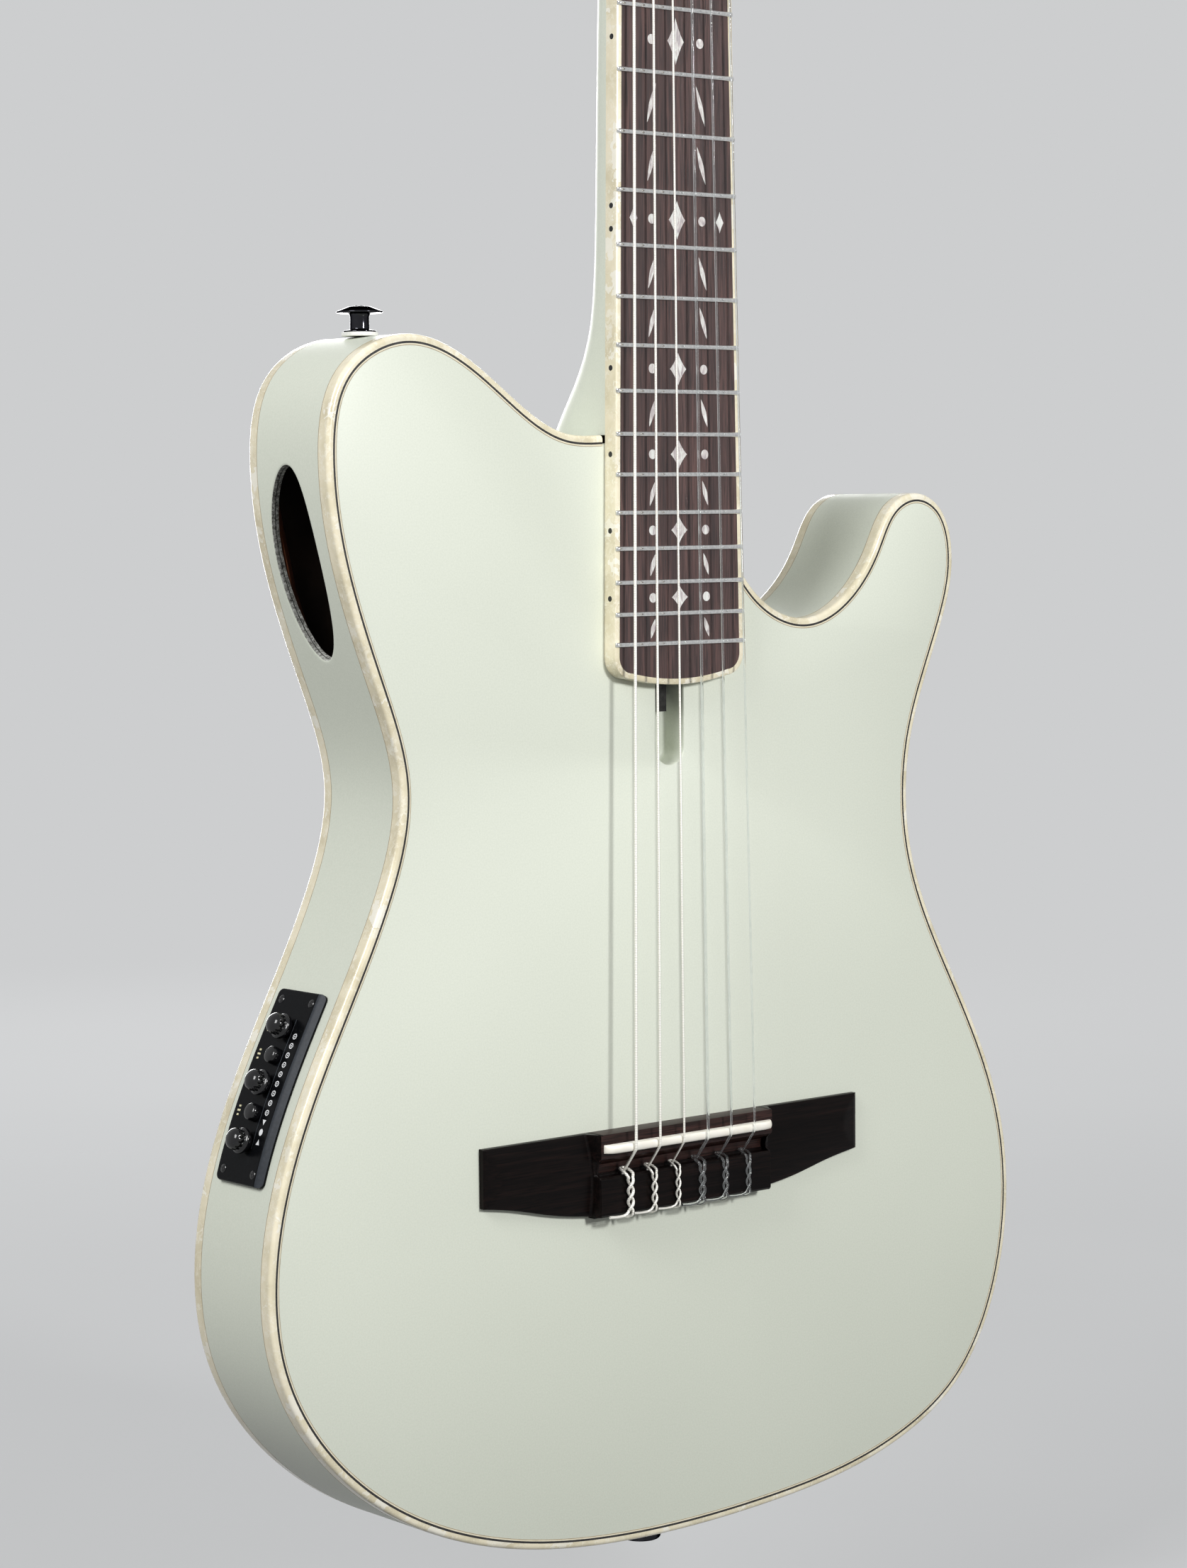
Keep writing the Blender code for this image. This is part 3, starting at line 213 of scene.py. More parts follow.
# %% [markdown]
# The bindings are pearloid: a cream plastic with pearl stirred into it. Most of it is quiet cream
# that drifts a little in tone. Here and there a torn flake of nearly white pearl lies in it, small
# or large: the cells of two Voronoi patterns, of which only few are kept. Their straight edges are
# frayed first, by pushing the coordinates about with a noise.
# %% Pearloid
def make_pearloid():
    """Cream plastic with silky swirls, and flakes of two sizes."""
    finish, shader, place = new_finish("pearloid", roughness=0.24, Coat_Weight=0.3,
                                       Coat_Roughness=0.08)
    warp = add_node(finish, "ShaderNodeTexNoise", {"Vector": place, "Scale": 300.0, "Detail": 3.0})
    push = (12 * MM,) * 3
    pushed = add_node(finish, "ShaderNodeVectorMath", {0: warp.outputs["Color"], 1: push},
                      operation="MULTIPLY")
    bent = add_node(finish, "ShaderNodeVectorMath", {0: place, 1: pushed.outputs[0]},
                    operation="ADD").outputs[0]
    cream = ramp(finish, noise(finish, place, 60, 3.0, 0.6), [(0.36, tone(212, 202, 172)),
                 (0.5, tone(228, 219, 190)), (0.66, tone(241, 232, 206))])
    silk = noise(finish, bent, 260, 3.0, 0.6, 1.2)
    colour = mixed(finish, ramp(finish, silk, [(0.5, BLACK), (0.8, WHITE)]), cream,
                   tone(248, 244, 228))
    for scale, keep in ((105.0, 0.88), (290.0, 0.94)):
        cells = add_node(finish, "ShaderNodeTexVoronoi", {"Vector": bent, "Scale": scale})
        pick = add_node(finish, "ShaderNodeSeparateColor", {"Color": cells.outputs["Color"]})
        flake = ramp(finish, pick.outputs[0], [(keep, BLACK), (keep + 0.08, (0.7, 0.7, 0.7, 1))])
        colour = mixed(finish, flake, colour, tone(250, 248, 237))
    bumped(finish, shader, silk, 0.1, 0.00005)
    return coloured(finish, shader, colour)


def make_shell():
    """Silver-grey shell for the inlay: soft bands that drift from rose to pale green."""
    finish, shader, place = new_finish("pearl_shell", roughness=0.22, Coat_Weight=0.3,
                                       Coat_Roughness=0.08)
    bands = noise(finish, stretched(finish, place, (420, 420, 150)), 1.0, 3.0, 0.6, 1.8)
    bumped(finish, shader, bands, 0.1, 0.00005)
    return coloured(finish, shader, ramp(finish, bands, [(0.32, tone(168, 160, 163)),
                    (0.46, tone(204, 196, 194)), (0.58, tone(222, 224, 219)),
                    (0.72, tone(240, 238, 236))]))


PEARLOID = make_pearloid()
PEARL_SHELL = make_shell()
print("pearl finishes:", PEARLOID.name, PEARL_SHELL.name)

# %% [markdown]
# Woods share one recipe. Noise that is squeezed across the grain and drawn out along it gives the
# growth lines, and a much finer noise of the same kind gives the pores, which are also a little
# sunk. Only the colours, the direction and the polish differ between rosewood, mahogany and spruce.
# %% Woods
def make_wood(name, grain_scale, dark, middle, light, roughness, pores=0.35, **values):
    """A wood in three tones. grain_scale is small along the grain and large across it."""
    finish, shader, place = new_finish(name, roughness=roughness, **values)
    lines = noise(finish, stretched(finish, place, grain_scale), 1.0, 4.0, 0.6, 0.6)
    fine = noise(finish, stretched(finish, place, tuple(5 * s for s in grain_scale)), 1.0, 2.0)
    grain = ramp(finish, lines, [(0.28, dark), (0.5, middle), (0.75, light)])
    pore = ramp(finish, fine, [(0.38, BLACK), (0.52, WHITE)])
    bumped(finish, shader, fine, pores, 0.00008)
    return coloured(finish, shader, mixed(finish, pore, dark, grain))


ROSEWOOD = make_wood("rosewood", (420, 420, 14), tone(42, 28, 27), tone(72, 50, 47),
                     tone(98, 70, 65), 0.45)
BRIDGE_WOOD = make_wood("dark_bridge_wood", (16, 380, 380), tone(7, 5, 5), tone(15, 10, 9),
                        tone(30, 19, 17), 0.3, pores=0.25, Specular_IOR_Level=0.08)
# The ridge is the same wood as the rest of the bridge, in a lighter and redder tone: painted light
# on the ridge.
RIDGE_WOOD = make_wood("ridge_wood", (16, 380, 380), tone(26, 16, 14), tone(48, 31, 28),
                       tone(64, 43, 39), 0.35, pores=0.25, Specular_IOR_Level=0.15)
# The inside of the plates and sides is coloured far darker than bare wood: painted shade inside the
# closed body.
SHADED_INNER_WOOD = make_wood("inner_wood_painted_shade", (14, 300, 14), tone(28, 21, 17), tone(42, 32, 26),
                      tone(56, 43, 35), 0.7, Specular_IOR_Level=0.2)
MAHOGANY = make_wood("mahogany", (300, 300, 12), tone(96, 52, 32), tone(132, 76, 48),
                     tone(158, 98, 64), 0.6)
SPRUCE = make_wood("spruce", (420, 420, 6), tone(186, 146, 98), tone(214, 180, 130),
                   tone(228, 200, 152), 0.6, pores=0.15)
print("woods:", ROSEWOOD.name, BRIDGE_WOOD.name, MAHOGANY.name, SPRUCE.name)

# %% [markdown]
# Metals and plastics show what stands around them, so their own pattern is slight: fine brushing,
# a trace of tarnish, or the waviness of a moulded face. It is enough to break a perfect reflection.
# %% Metals, plastics and the rest
def make_plain(name, low, high, roughness, metallic=0.0, scale=260, relief=0.05, **values):
    """A finish whose colour wanders between two near tones, with a slight relief."""
    finish, shader, place = new_finish(name, roughness, metallic, **values)
    wander = noise(finish, place, scale, 3.0)
    bumped(finish, shader, wander, relief, 0.00005)
    return coloured(finish, shader, ramp(finish, wander, [(0.3, low), (0.7, high)]))


# Black for the inlaid lines and the glue line, and for the painted shade in the slots of screw
# heads.
BLACK_LINE_AND_SLOT_SHADE = make_plain("black_line_and_slot_shade", tone(20, 19, 20), tone(30, 29, 29), 0.4)
TAN_STRIP = make_plain("tan_purfling", tone(150, 134, 108), tone(176, 160, 132), 0.45)
CREAM_STRIP = make_plain("cream_purfling", tone(222, 213, 186), tone(236, 229, 206), 0.4)
BONE = make_plain("bone", tone(240, 235, 221), tone(250, 247, 238), 0.34, scale=120,
                  Coat_Weight=0.15)
FRET_METAL = make_plain("fret_metal", tone(208, 208, 207), tone(234, 234, 232), 0.12, 1.0, 900)
NICKEL = make_plain("nickel", tone(190, 188, 183), tone(214, 212, 207), 0.18, 1.0, 500)
BRASS = make_plain("brass", tone(176, 138, 66), tone(206, 168, 92), 0.28, 1.0, 400)
# Chrome whose base colour is kept dark: a painted dark reflection, where real chrome would mirror
# the pale studio.
CHROME_DARK_REFLECTION = make_plain("chrome_painted_dark_reflection", tone(44, 44, 48), tone(58, 58, 62), 0.08, 1.0, 200,
                         Specular_Tint=(0.12, 0.12, 0.13, 1))
BLACK_STEEL = make_plain("blackened_steel", tone(40, 39, 38), tone(58, 57, 55), 0.4, 0.8, 700)
STEEL = make_plain("steel", tone(128, 128, 130), tone(160, 160, 162), 0.36, 1.0, 700)
PANEL_BLACK = make_plain("panel_black", tone(9, 10, 12), tone(15, 16, 18), 0.22, 0.0, 900,
                         Specular_IOR_Level=0.08)
KNOB_BLACK = make_plain("knob_black", tone(8, 8, 10), tone(14, 14, 16), 0.14, 0.0, 1200, 0.04,
                        Specular_IOR_Level=0.5)
# A lighter grey for the bevel of the black panel: a painted sheen. The raised line takes it too.
SHEEN_AND_LINE_GREY = make_plain("panel_sheen_and_line_grey", tone(40, 44, 49), tone(50, 54, 60), 0.4, 0.0, 900,
                       Specular_IOR_Level=0.2)
CASE_BLACK = make_plain("case_black", tone(24, 24, 26), tone(38, 38, 40), 0.5, 0.0, 1500, 0.3)
BATTERY_SKIN = make_plain("battery_skin", tone(38, 40, 44), tone(60, 62, 66), 0.35, 0.3, 90)
WASHER_WHITE = make_plain("washer_white", tone(222, 222, 216), tone(238, 238, 233), 0.6, 0.0, 900,
                          0.25)
SIGN_WHITE = make_plain("sign_white", tone(222, 224, 226), tone(240, 242, 244), 0.5)
SIGN_CREAM = make_plain("sign_cream", tone(214, 207, 168), tone(230, 224, 188), 0.5)
PIEZO_GREY = make_plain("piezo_grey", tone(70, 70, 72), tone(96, 96, 98), 0.6)
CLEAR_NYLON = make_plain("clear_nylon", tone(238, 242, 242), tone(250, 252, 252), 0.03, 0.0, 300,
                         Transmission_Weight=0.96, IOR=1.45)
print("finishes so far:", len(bpy.data.materials))

# %% [markdown]
# Where the sound port was sawn through the side, paint mist lies on torn fibres. Noise that is
# much finer from front to back than along the side gives short pale and dark streaks, and the dark
# ones are also a little sunk.
# %% Cut edge
def make_cut_edge():
    """Bare fibres with paint mist on them, where the port was cut through the side."""
    finish, shader, place = new_finish("cut_edge", roughness=0.75)
    fibres = noise(finish, stretched(finish, place, (900, 2400, 900)), 1.0, 4.0, 0.7, 0.5)
    bumped(finish, shader, fibres, 0.6, 0.0003)
    return coloured(finish, shader, ramp(finish, fibres, [(0.34, tone(62, 60, 56)),
                    (0.5, tone(158, 158, 152)), (0.66, tone(228, 229, 224))]))


CUT_EDGE = make_cut_edge()
print("cut edge:", CUT_EDGE.name)

# %% [markdown]
# ## Surfaces from numpy
# Every new piece is a sheet: a grid of points worked out as one array. The faces only say which
# neighbours on the grid belong together. Several sheets make one piece, and where their edges
# share places the points are merged, so that a closed piece is one tight skin facing outwards.
# %% Sheets
def sheet(points, around=False, along=False, finish=0, skip=None):
    """Quads between neighbours of a (rows, columns, 3) grid, numbered row by row.

    around joins the last column to the first, along the last row to the first. skip is a grid of
    truth values, one for each quad, that leaves holes.
    """
    rows, columns = points.shape[:2]
    row = np.arange(rows if along else rows - 1)[:, None]
    column = np.arange(columns if around else columns - 1)[None]
    after, beside = (row + 1) % rows, (column + 1) % columns
    quads = np.stack(np.broadcast_arrays(row * columns + column, row * columns + beside,
                                         after * columns + beside, after * columns + column), -1)
    quads = quads.reshape(-1, 4) if skip is None else quads[~skip]
    return points.reshape(-1, 3), quads.tolist(), finish


def full_turn(count):
    """Angles spread evenly round a circle."""
    return np.linspace(0, 2 * math.pi, count, endpoint=False)


def capped(points, finish=0):
    """A tube of rings, closed by one flat face at each end."""
    flat, quads, finish = sheet(points, around=True, finish=finish)
    count, total = points.shape[1], len(flat)
    ends = [list(range(count))[::-1], list(range(total - count, total))]
    return flat, quads + ends, finish


print("a sheet of 3 by 4 points has", len(sheet(np.zeros((3, 4, 3)))[1]), "faces")

# %% [markdown]
# A finished skin becomes an object. It keeps its place in the shared frame, so it stays at the
# origin. It rides on one of the frame's bodies and moves with it, and names the solids that it
# covers, which are then not shown.
# %% Pieces
def shown(name, mesh, finishes, slot, body, stands_for, smooth):
    """A mesh as an object at the origin, on its body, in place of the solids it stands for."""
    mesh.shade_smooth()
    mesh.set_sharp_from_angle(angle=math.radians(smooth))
    for finish in finishes:
        mesh.materials.append(finish)
    made = add_object(name, mesh)
    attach(made, body)
    if stands_for:
        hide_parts(*stands_for)
    print(f"{name}: {len(mesh.polygons)} faces on {body}")
    return made


def piece(name, parts, finishes, slot, body="guitar", stands_for=(), smooth=35):
    """Several sheets merged into one skin that faces outwards, shown as a piece."""
    points, faces, which = [], [], []
    for part_points, part_faces, finish in parts:
        start = sum(len(p) for p in points)
        points.append(part_points)
        faces += [[start + k for k in face] for face in part_faces]
        which += finish if isinstance(finish, list) else [finish] * len(part_faces)
    mesh = bpy.data.meshes.new(name)
    mesh.from_pydata(np.concatenate(points).tolist(), [], faces)
    mesh.polygons.foreach_set("material_index", which)
    skin = bmesh.new()
    skin.from_mesh(mesh)
    bmesh.ops.remove_doubles(skin, verts=skin.verts, dist=1e-6)
    bmesh.ops.recalc_face_normals(skin, faces=skin.faces)
    skin.to_mesh(mesh)
    skin.free()
    finishes = finishes if isinstance(finishes, list) else [finishes]
    return shown(name, mesh, finishes, slot, body, stands_for, smooth)


# %% [markdown]
# Much of the hardware is turned on a lathe: knobs, screws, rollers, the strap button. One profile
# carried round an axis makes each of them. Its corners are rounded first, because no real edge is
# perfectly sharp, and a rounded one catches the light. A bevel would do the same on the finished
# mesh, but here each corner's radius is known before a single face exists.
# %% Turned and rounded shapes
def placed(points, matrix):
    """Points carried by a matrix, as one product."""
    turn = np.array(matrix.to_3x3())
    return points @ turn.T + np.array(matrix.translation)


def turned(profile, steps, matrix, radius_of=None):
    """A surface of revolution: radius and height from the profile, the angle all the way round.

    radius_of bends the radius by the angle, as flutes do.
    """
    profile = np.array(profile, float)
    angle = full_turn(steps)[None]
    radius = profile[:, :1] * np.ones_like(angle)
    height = profile[:, 1:] * np.ones_like(angle)
    if radius_of is not None:
        radius = radius_of(radius, height, angle)
    return placed(np.stack([radius * np.cos(angle), radius * np.sin(angle), height], -1), matrix)


def rounded(corners, radius, steps=4):
    """A profile whose inner corners become arcs: each is cut back and bent on a quadratic curve."""
    corners = np.array(corners, float)
    before, here, after = corners[:-2], corners[1:-1], corners[2:]
    to_before, to_after = before - here, after - here
    short = np.minimum(np.linalg.norm(to_before, axis=1), np.linalg.norm(to_after, axis=1))
    reach = np.minimum(radius, 0.45 * short)[:, None]
    start = here + to_before / np.linalg.norm(to_before, axis=1, keepdims=True) * reach
    end = here + to_after / np.linalg.norm(to_after, axis=1, keepdims=True) * reach
    t = np.linspace(0, 1, steps + 1)[None, :, None]
    arcs = (1 - t) ** 2 * start[:, None] + 2 * t * (1 - t) * here[:, None] + t ** 2 * end[:, None]
    return np.vstack([corners[:1], arcs.reshape(-1, corners.shape[1]), corners[-1:]])


print("points of one rounded corner:", len(rounded([(0, 0), (1, 0), (1, 1)], 0.2)) - 2)

# %% [markdown]
# ## The body's outline
# One curve rules the whole body: the plates, the sides and both bindings are all this curve at
# another inset and depth. Thirty-two knots lie where a ruler on the real edge would put them, in
# millimetres from the centreline and the saddle. A natural cubic spline joins them without a
# kink in slope or in curvature, as a bent batten would.
# %% Outline
SCALE_LENGTH = 634 * MM
SADDLE_Z = -SCALE_LENGTH
JOINT_Z = -382.7 * MM
BODY_DEPTH = 45.5 * MM
BODY_EDGE = [(-30.6, 251.3), (-45, 251.6), (-75, 267.5), (-117, 284.4), (-142.5, 271),
             (-149.6, 241), (-130.5, 166), (-121, 131), (-131, 92), (-162.5, 30), (-178.7, -23),
             (-175.5, -62), (-150, -101.5), (-98, -133.3), (-20, -147.3), (45, -146.3),
             (121, -132), (147, -117), (173.3, -69), (173, -15), (146, 45), (122.5, 97),
             (122.5, 137), (140.5, 184), (145.2, 204), (138, 225.5), (125, 230.5),
             (112.5, 225.5), (102, 209), (67, 184.9), (43, 194.5), (30.5, 210)]


def batten(knots, count):
    """Points on a natural cubic spline through the knots, spread evenly along their chords.

    Between two knots the curve is the straight mix of both, plus a cubic bend at each end. The
    bends solve one set of linear equations that makes the slopes agree at every knot.
    """
    knots = np.array(knots, float)
    chord = np.concatenate([[0], np.cumsum(np.linalg.norm(np.diff(knots, axis=0), axis=1))])
    step = np.diff(chord)
    inner = np.arange(1, len(knots) - 1)
    system = np.eye(len(knots))
    system[inner, inner - 1], system[inner, inner + 1] = step[:-1], step[1:]
    system[inner, inner] = 2 * (step[:-1] + step[1:])
    bend = np.zeros_like(knots)
    bend[1:-1] = 6 * np.diff(np.diff(knots, axis=0) / step[:, None], axis=0)
    bend = np.linalg.solve(system, bend)
    at = np.linspace(0, chord[-1], count)
    i = np.clip(np.searchsorted(chord, at, side="right") - 1, 0, len(knots) - 2)
    b = ((at - chord[i]) / step[i])[:, None]
    a = 1 - b
    curve = ((a ** 3 - a) * bend[i] + (b ** 3 - b) * bend[i + 1]) * step[i][:, None] ** 2 / 6
    return a * knots[i] + b * knots[i + 1] + curve


curved_edge = batten(np.array(BODY_EDGE) * MM + (0, SADDLE_Z), 2400)
print(f"body {np.ptp(curved_edge[:, 0]) / MM:.1f} mm wide from", len(BODY_EDGE), "knots")

# %% [markdown]
# The neck's end closes the outline with two sharp corners. An inset has to keep its distance from
# both edges that meet in a corner, so each corner moves along its mitre, and further the sharper it
# is, just as a wooden frame is cut.
# %% Rim and insets
def lengths(points):
    """Distance run along a line of points."""
    return np.concatenate([[0], np.cumsum(np.linalg.norm(np.diff(points, axis=0), axis=1))])


def inward(points):
    """For each corner of a closed outline, the step that an inset of one moves it: its mitre."""
    ahead = np.roll(points, -1, axis=0) - points
    ahead = ahead / np.linalg.norm(ahead, axis=1, keepdims=True)
    middle = ahead + np.roll(ahead, 1, axis=0)
    middle = middle / np.linalg.norm(middle, axis=1, keepdims=True)
    stretch = np.maximum(np.sum(middle * ahead, axis=1, keepdims=True), 0.5)
    return np.stack([-middle[:, 1], middle[:, 0]], axis=1) / stretch


neck_corners = np.array([(30.5 * MM, JOINT_Z - 20 * MM), (30.5 * MM, JOINT_Z)])
RIM = np.vstack([curved_edge, neck_corners])
RIM_IN = inward(RIM)
RIM_RUN = lengths(np.vstack([RIM, RIM[:1]]))
CURVE_END = RIM_RUN[len(curved_edge) - 1]
CORNER_RUN = RIM_RUN[len(curved_edge) - 1:-1]
print(f"outline {RIM_RUN[-1]:.3f} m round, {CURVE_END:.3f} m of it curved")

# %% [markdown]
# From here on two numbers give any place on the body, as on a tape laid round it: the run along the
# outline and the depth from the front. A third, the reach, goes out from the side or into it. The
# tape is marked more closely where the outline turns, so that tight bends stay smooth.
# %% Places on the body
def along_rim(run, reach, depth):
    """Points at a run along the outline, a reach out from it and a depth from the front."""
    loop, loop_in = (np.vstack([a, a[:1]]) for a in (RIM, RIM_IN))
    x, z, in_x, in_z = (np.interp(run, RIM_RUN, c) for c in (*loop.T, *loop_in.T))
    x, z, y = np.broadcast_arrays(x - in_x * reach, z - in_z * reach, depth)
    return np.stack([x, y, z], -1)


def rim_stations(count):
    """Runs along the outline, closer together where it turns, with its corners among them."""
    heading = np.unwrap(np.arctan2(*np.diff(curved_edge, axis=0).T[::-1]))
    turning = np.concatenate([[0, 0], np.cumsum(np.abs(np.diff(heading)))])
    run = RIM_RUN[:len(curved_edge)]
    effort = run / run[-1] + 1.2 * turning / turning[-1]
    return np.concatenate([np.interp(np.linspace(0, effort[-1], count), effort, run),
                           CORNER_RUN[1:]])


def side_matrix(run, depth):
    """A place on the side: local Z points straight out of it, local X to the back."""
    point = along_rim(run, 0, depth)
    out = along_rim(run, 1, depth) - point
    turn = Vector(out).to_track_quat("Z", "X").to_matrix().to_4x4()
    return Matrix.Translation(point) @ turn


print("0.1 m along the tape:", along_rim(0.1, 0, 0).round(3).tolist())

# %% [markdown]
# ## Plates
# The soundboard and the back are flat sheets let in behind the bindings. The front is pierced by
# a short slot that lets a key reach the nut of the truss rod. Under the end of the fretboard that
# slot runs on out of sight, so the plate is one outline with a deep notch, its edges eased as
# paint leaves them.
# %% Soundboard and back
PLATE_INSET = 2.8 * MM
PLATE_THICKNESS = 3 * MM
SLOT_HALF = 6.5 * MM
SLOT_END = SADDLE_Z + 140.5 * MM
BOARD_END_Z = -471 * MM


def plate_part(outline, depths, first=0, last=0):
    """A flat plate: rings of the outline at insets and depths, closed by the first and last.

    first and last number the finishes of those two flat faces.
    """
    step_in = inward(outline)
    rings = []
    for inset, depth in depths:
        moved = outline + step_in * inset
        rings.append(np.stack([moved[:, 0], np.full(len(moved), depth), moved[:, 1]], -1))
    points, faces, _ = capped(np.array(rings))
    return points, faces, [0] * (len(faces) - 2) + [first, last]


stations = rim_stations(420)
plate_edge = along_rim(stations, -PLATE_INSET, 0)[:, [0, 2]]
turn = np.linspace(0, math.pi, 25)
notch = np.stack([SLOT_HALF * np.cos(turn), SLOT_END - SLOT_HALF * np.sin(turn)], -1)
notch = np.vstack([[(SLOT_HALF, plate_edge[-1, 1])], notch, [(-SLOT_HALF, plate_edge[-1, 1])]])
ease = [(0.7 * MM, 0), (0.3 * MM, 0.12 * MM), (0.08 * MM, 0.4 * MM), (0, 0.9 * MM),
        (0, PLATE_THICKNESS)]
# Each plate's inner face takes the darkened inner wood, painted shade inside the body.
piece("soundboard_plate", [plate_part(np.vstack([plate_edge, notch]), ease, last=1)],
      [PAINT, SHADED_INNER_WOOD], "paint_sage_white", stands_for=["soundboard"])
back = [(0, BODY_DEPTH - PLATE_THICKNESS), (0, BODY_DEPTH)]
piece("back_sheet", [plate_part(plate_edge, back, first=1)], [PAINT, SHADED_INNER_WOOD],
      "paint_sage_white", stands_for=["back_plate"])

# %% [markdown]
# Behind the slot lies the channel that leads the key to the rod. It is a trough of wood, painted
# with the face: one outline, the slot's own, carried straight in to a flat floor, with a plain
# outside. Its inner corner is eased, so that the floor meets the wall in a soft line.
# %% Channel behind the slot
TROUGH_FLOOR = 10.6 * MM
TROUGH_TOP = BOARD_END_Z + 18 * MM


def slot_outline(grow):
    """The slot as a closed outline, larger by grow: straight sides and a half-round end."""
    half = SLOT_HALF + grow
    bend = np.linspace(0, math.pi, 25)
    end = np.stack([half * np.cos(bend), SLOT_END - half * np.sin(bend)], -1)
    return np.vstack([end, [(-half, TROUGH_TOP), (half, TROUGH_TOP)]])


walls = [(0, PLATE_THICKNESS), (0, TROUGH_FLOOR - 1.2 * MM),
         (-0.35 * MM, TROUGH_FLOOR - 0.35 * MM), (-1.2 * MM, TROUGH_FLOOR)]
inner = np.array([np.insert(slot_outline(grow), 1, depth, axis=1) for grow, depth in walls])
outer = np.array([np.insert(slot_outline(2.5 * MM), 1, depth, axis=1)
                  for depth in (PLATE_THICKNESS, TROUGH_FLOOR + 2 * MM)])
floor_points, floor_faces, _ = capped(inner)
outer_points, outer_faces, _ = capped(outer)
brim = sheet(np.array([inner[0], outer[0]]), around=True)
piece("key_channel", [(floor_points, floor_faces[:-2] + floor_faces[-1:], 0),
                      (outer_points, outer_faces[:-2] + outer_faces[-1:], 1), brim],
      [PAINT, MAHOGANY], "paint_sage_white", smooth=50)

# %% [markdown]
# ## Bindings and purfling
# A binding is a strip glued into a rebate along the edge, scraped flush and rounded over. It is
# one small profile carried along the whole outline. Inside it lies the purfling, a black line, a
# cream one and a thin tan one, let into the face. They stand proud by a few hundredths of a
# millimetre, so that they cover the joint under them. A hair of tan also shows where binding and
# side meet.
# %% Bindings and purfling
def swept(profile, runs, closed):
    """A profile of (inset, depth) points carried along the outline."""
    profile = np.array(profile)
    rings = along_rim(runs[:, None], -profile[None, :, 0], profile[None, :, 1])
    return sheet(rings, around=True, along=True) if closed else capped(rings)


ROUND = 1.5 * MM
BINDING_DEPTH, BINDING_INSET = 5 * MM, 2.5 * MM
SEAM_DEPTH = 4.98 * MM
arc = np.linspace(0, math.pi / 2, 6)
edge_profile = [(0, BINDING_DEPTH), *zip(ROUND * (1 - np.cos(arc)), ROUND * (1 - np.sin(arc))),
                (BINDING_INSET, 0), (BINDING_INSET, BINDING_DEPTH)]
back_profile = [(inset, BODY_DEPTH - depth) for inset, depth in edge_profile]
piece("front_binding", [swept(edge_profile, stations, False)], PEARLOID, "pearloid",
      stands_for=["top_binding"])
piece("rear_binding", [swept(back_profile, stations, True)], PEARLOID, "pearloid",
      stands_for=["back_binding"])


def line_profile(inset, width, face, inwards):
    """The section of an inlaid line: proud of the face, and sunk a little into it."""
    proud, sunk = face - inwards * 0.04 * MM, face + inwards * 0.5 * MM
    return [(inset, sunk), (inset, proud), (inset + width, proud), (inset + width, sunk)]


def seam_section(face, inwards, sunk=0.3 * MM, proud=-0.03 * MM, width=0.22 * MM):
    """The section of the hair of tan on the side, next to the binding."""
    near = face + inwards * SEAM_DEPTH
    far = near + inwards * width
    return [(sunk, near), (proud, near), (proud, far), (sunk, far)]


for end, face, inwards, closed in (("front", 0, 1, False), ("rear", BODY_DEPTH, -1, True)):
    sections = {"black": (line_profile(2.45 * MM, 0.75 * MM, face, inwards), BLACK_LINE_AND_SLOT_SHADE),
                "cream": (line_profile(3.2 * MM, 0.45 * MM, face, inwards), CREAM_STRIP),
                "tan": (line_profile(3.65 * MM, 0.22 * MM, face, inwards), TAN_STRIP),
                "seam": (seam_section(face, inwards), TAN_STRIP)}
    for name, (section, finish) in sections.items():
        piece(f"{end}_{name}_line", [swept(section, stations, closed)], finish,
              "paint_sage_white")

# %% [markdown]
# ## Sides
# The sides are one wall, 3 mm thick, that follows the outline. Three things pierce it: the oval
# sound port in the bass shoulder, the cut-out behind the electronics and the hole for the jack.
# A grid can't have an oval hole, so the cells round it are left out, and a patch fills the place:
# its outer row is the edge of the missing cells, its inner row is the oval. The patch goes on over
# the rounded lip, through the wall and back on the inside, where the bare wood is coloured dark as
# painted shade inside the closed body.
# %% Patches round holes
WALL = 3 * MM
PORT_RUN, PORT_HALF_RUN, PORT_DEPTH, PORT_HALF_DEPTH = (v * MM for v in (189.8, 34, 23.9, 12.2))
PREAMP_RUN, PREAMP_LENGTH, PREAMP_FRONT, PREAMP_BACK = (v * MM for v in (377.8, 68.6, 9.6, 35.6))
PORT_GAP, PREAMP_GAP, JACK_GAP = 42 * MM, 27.9 * MM, 12 * MM
JACK_HOLE = 6.3 * MM
TAIL_PLACE = np.array((2 * MM, SADDLE_Z - 147.6 * MM))
JACK_RUN = RIM_RUN[np.argmin(np.linalg.norm(curved_edge - TAIL_PLACE, axis=1))]


def border(first_row, last_row, first_column, last_column):
    """Row and column numbers round the edge of a block of a grid, in order."""
    down = np.arange(first_row, last_row)
    across = np.arange(first_column, last_column)
    rows = np.concatenate([np.full(len(across), first_row), down, np.full(len(across), last_row),
                           down[::-1] + 1])
    columns = np.concatenate([across, np.full(len(down), last_column), across[::-1] + 1,
                              np.full(len(down), first_column)])
    return rows, columns


def oval_rim(edge, centre, halves, grow):
    """Points of an oval, each in the direction of a point of the edge round it."""
    away = (edge - centre) / np.abs(edge - centre).max(axis=0)
    angle = np.arctan2(away[:, 1], away[:, 0])
    return centre + (np.array(halves) + grow) * np.stack([np.cos(angle), np.sin(angle)], -1)


LIP = [(0.9 * MM, 0), (0.5 * MM, 0.05 * MM), (0.18 * MM, 0.25 * MM), (0, 0.7 * MM)]
PLY_ROWS = [(0, 1.5 * MM), (0, 1.8 * MM), (0, WALL)]


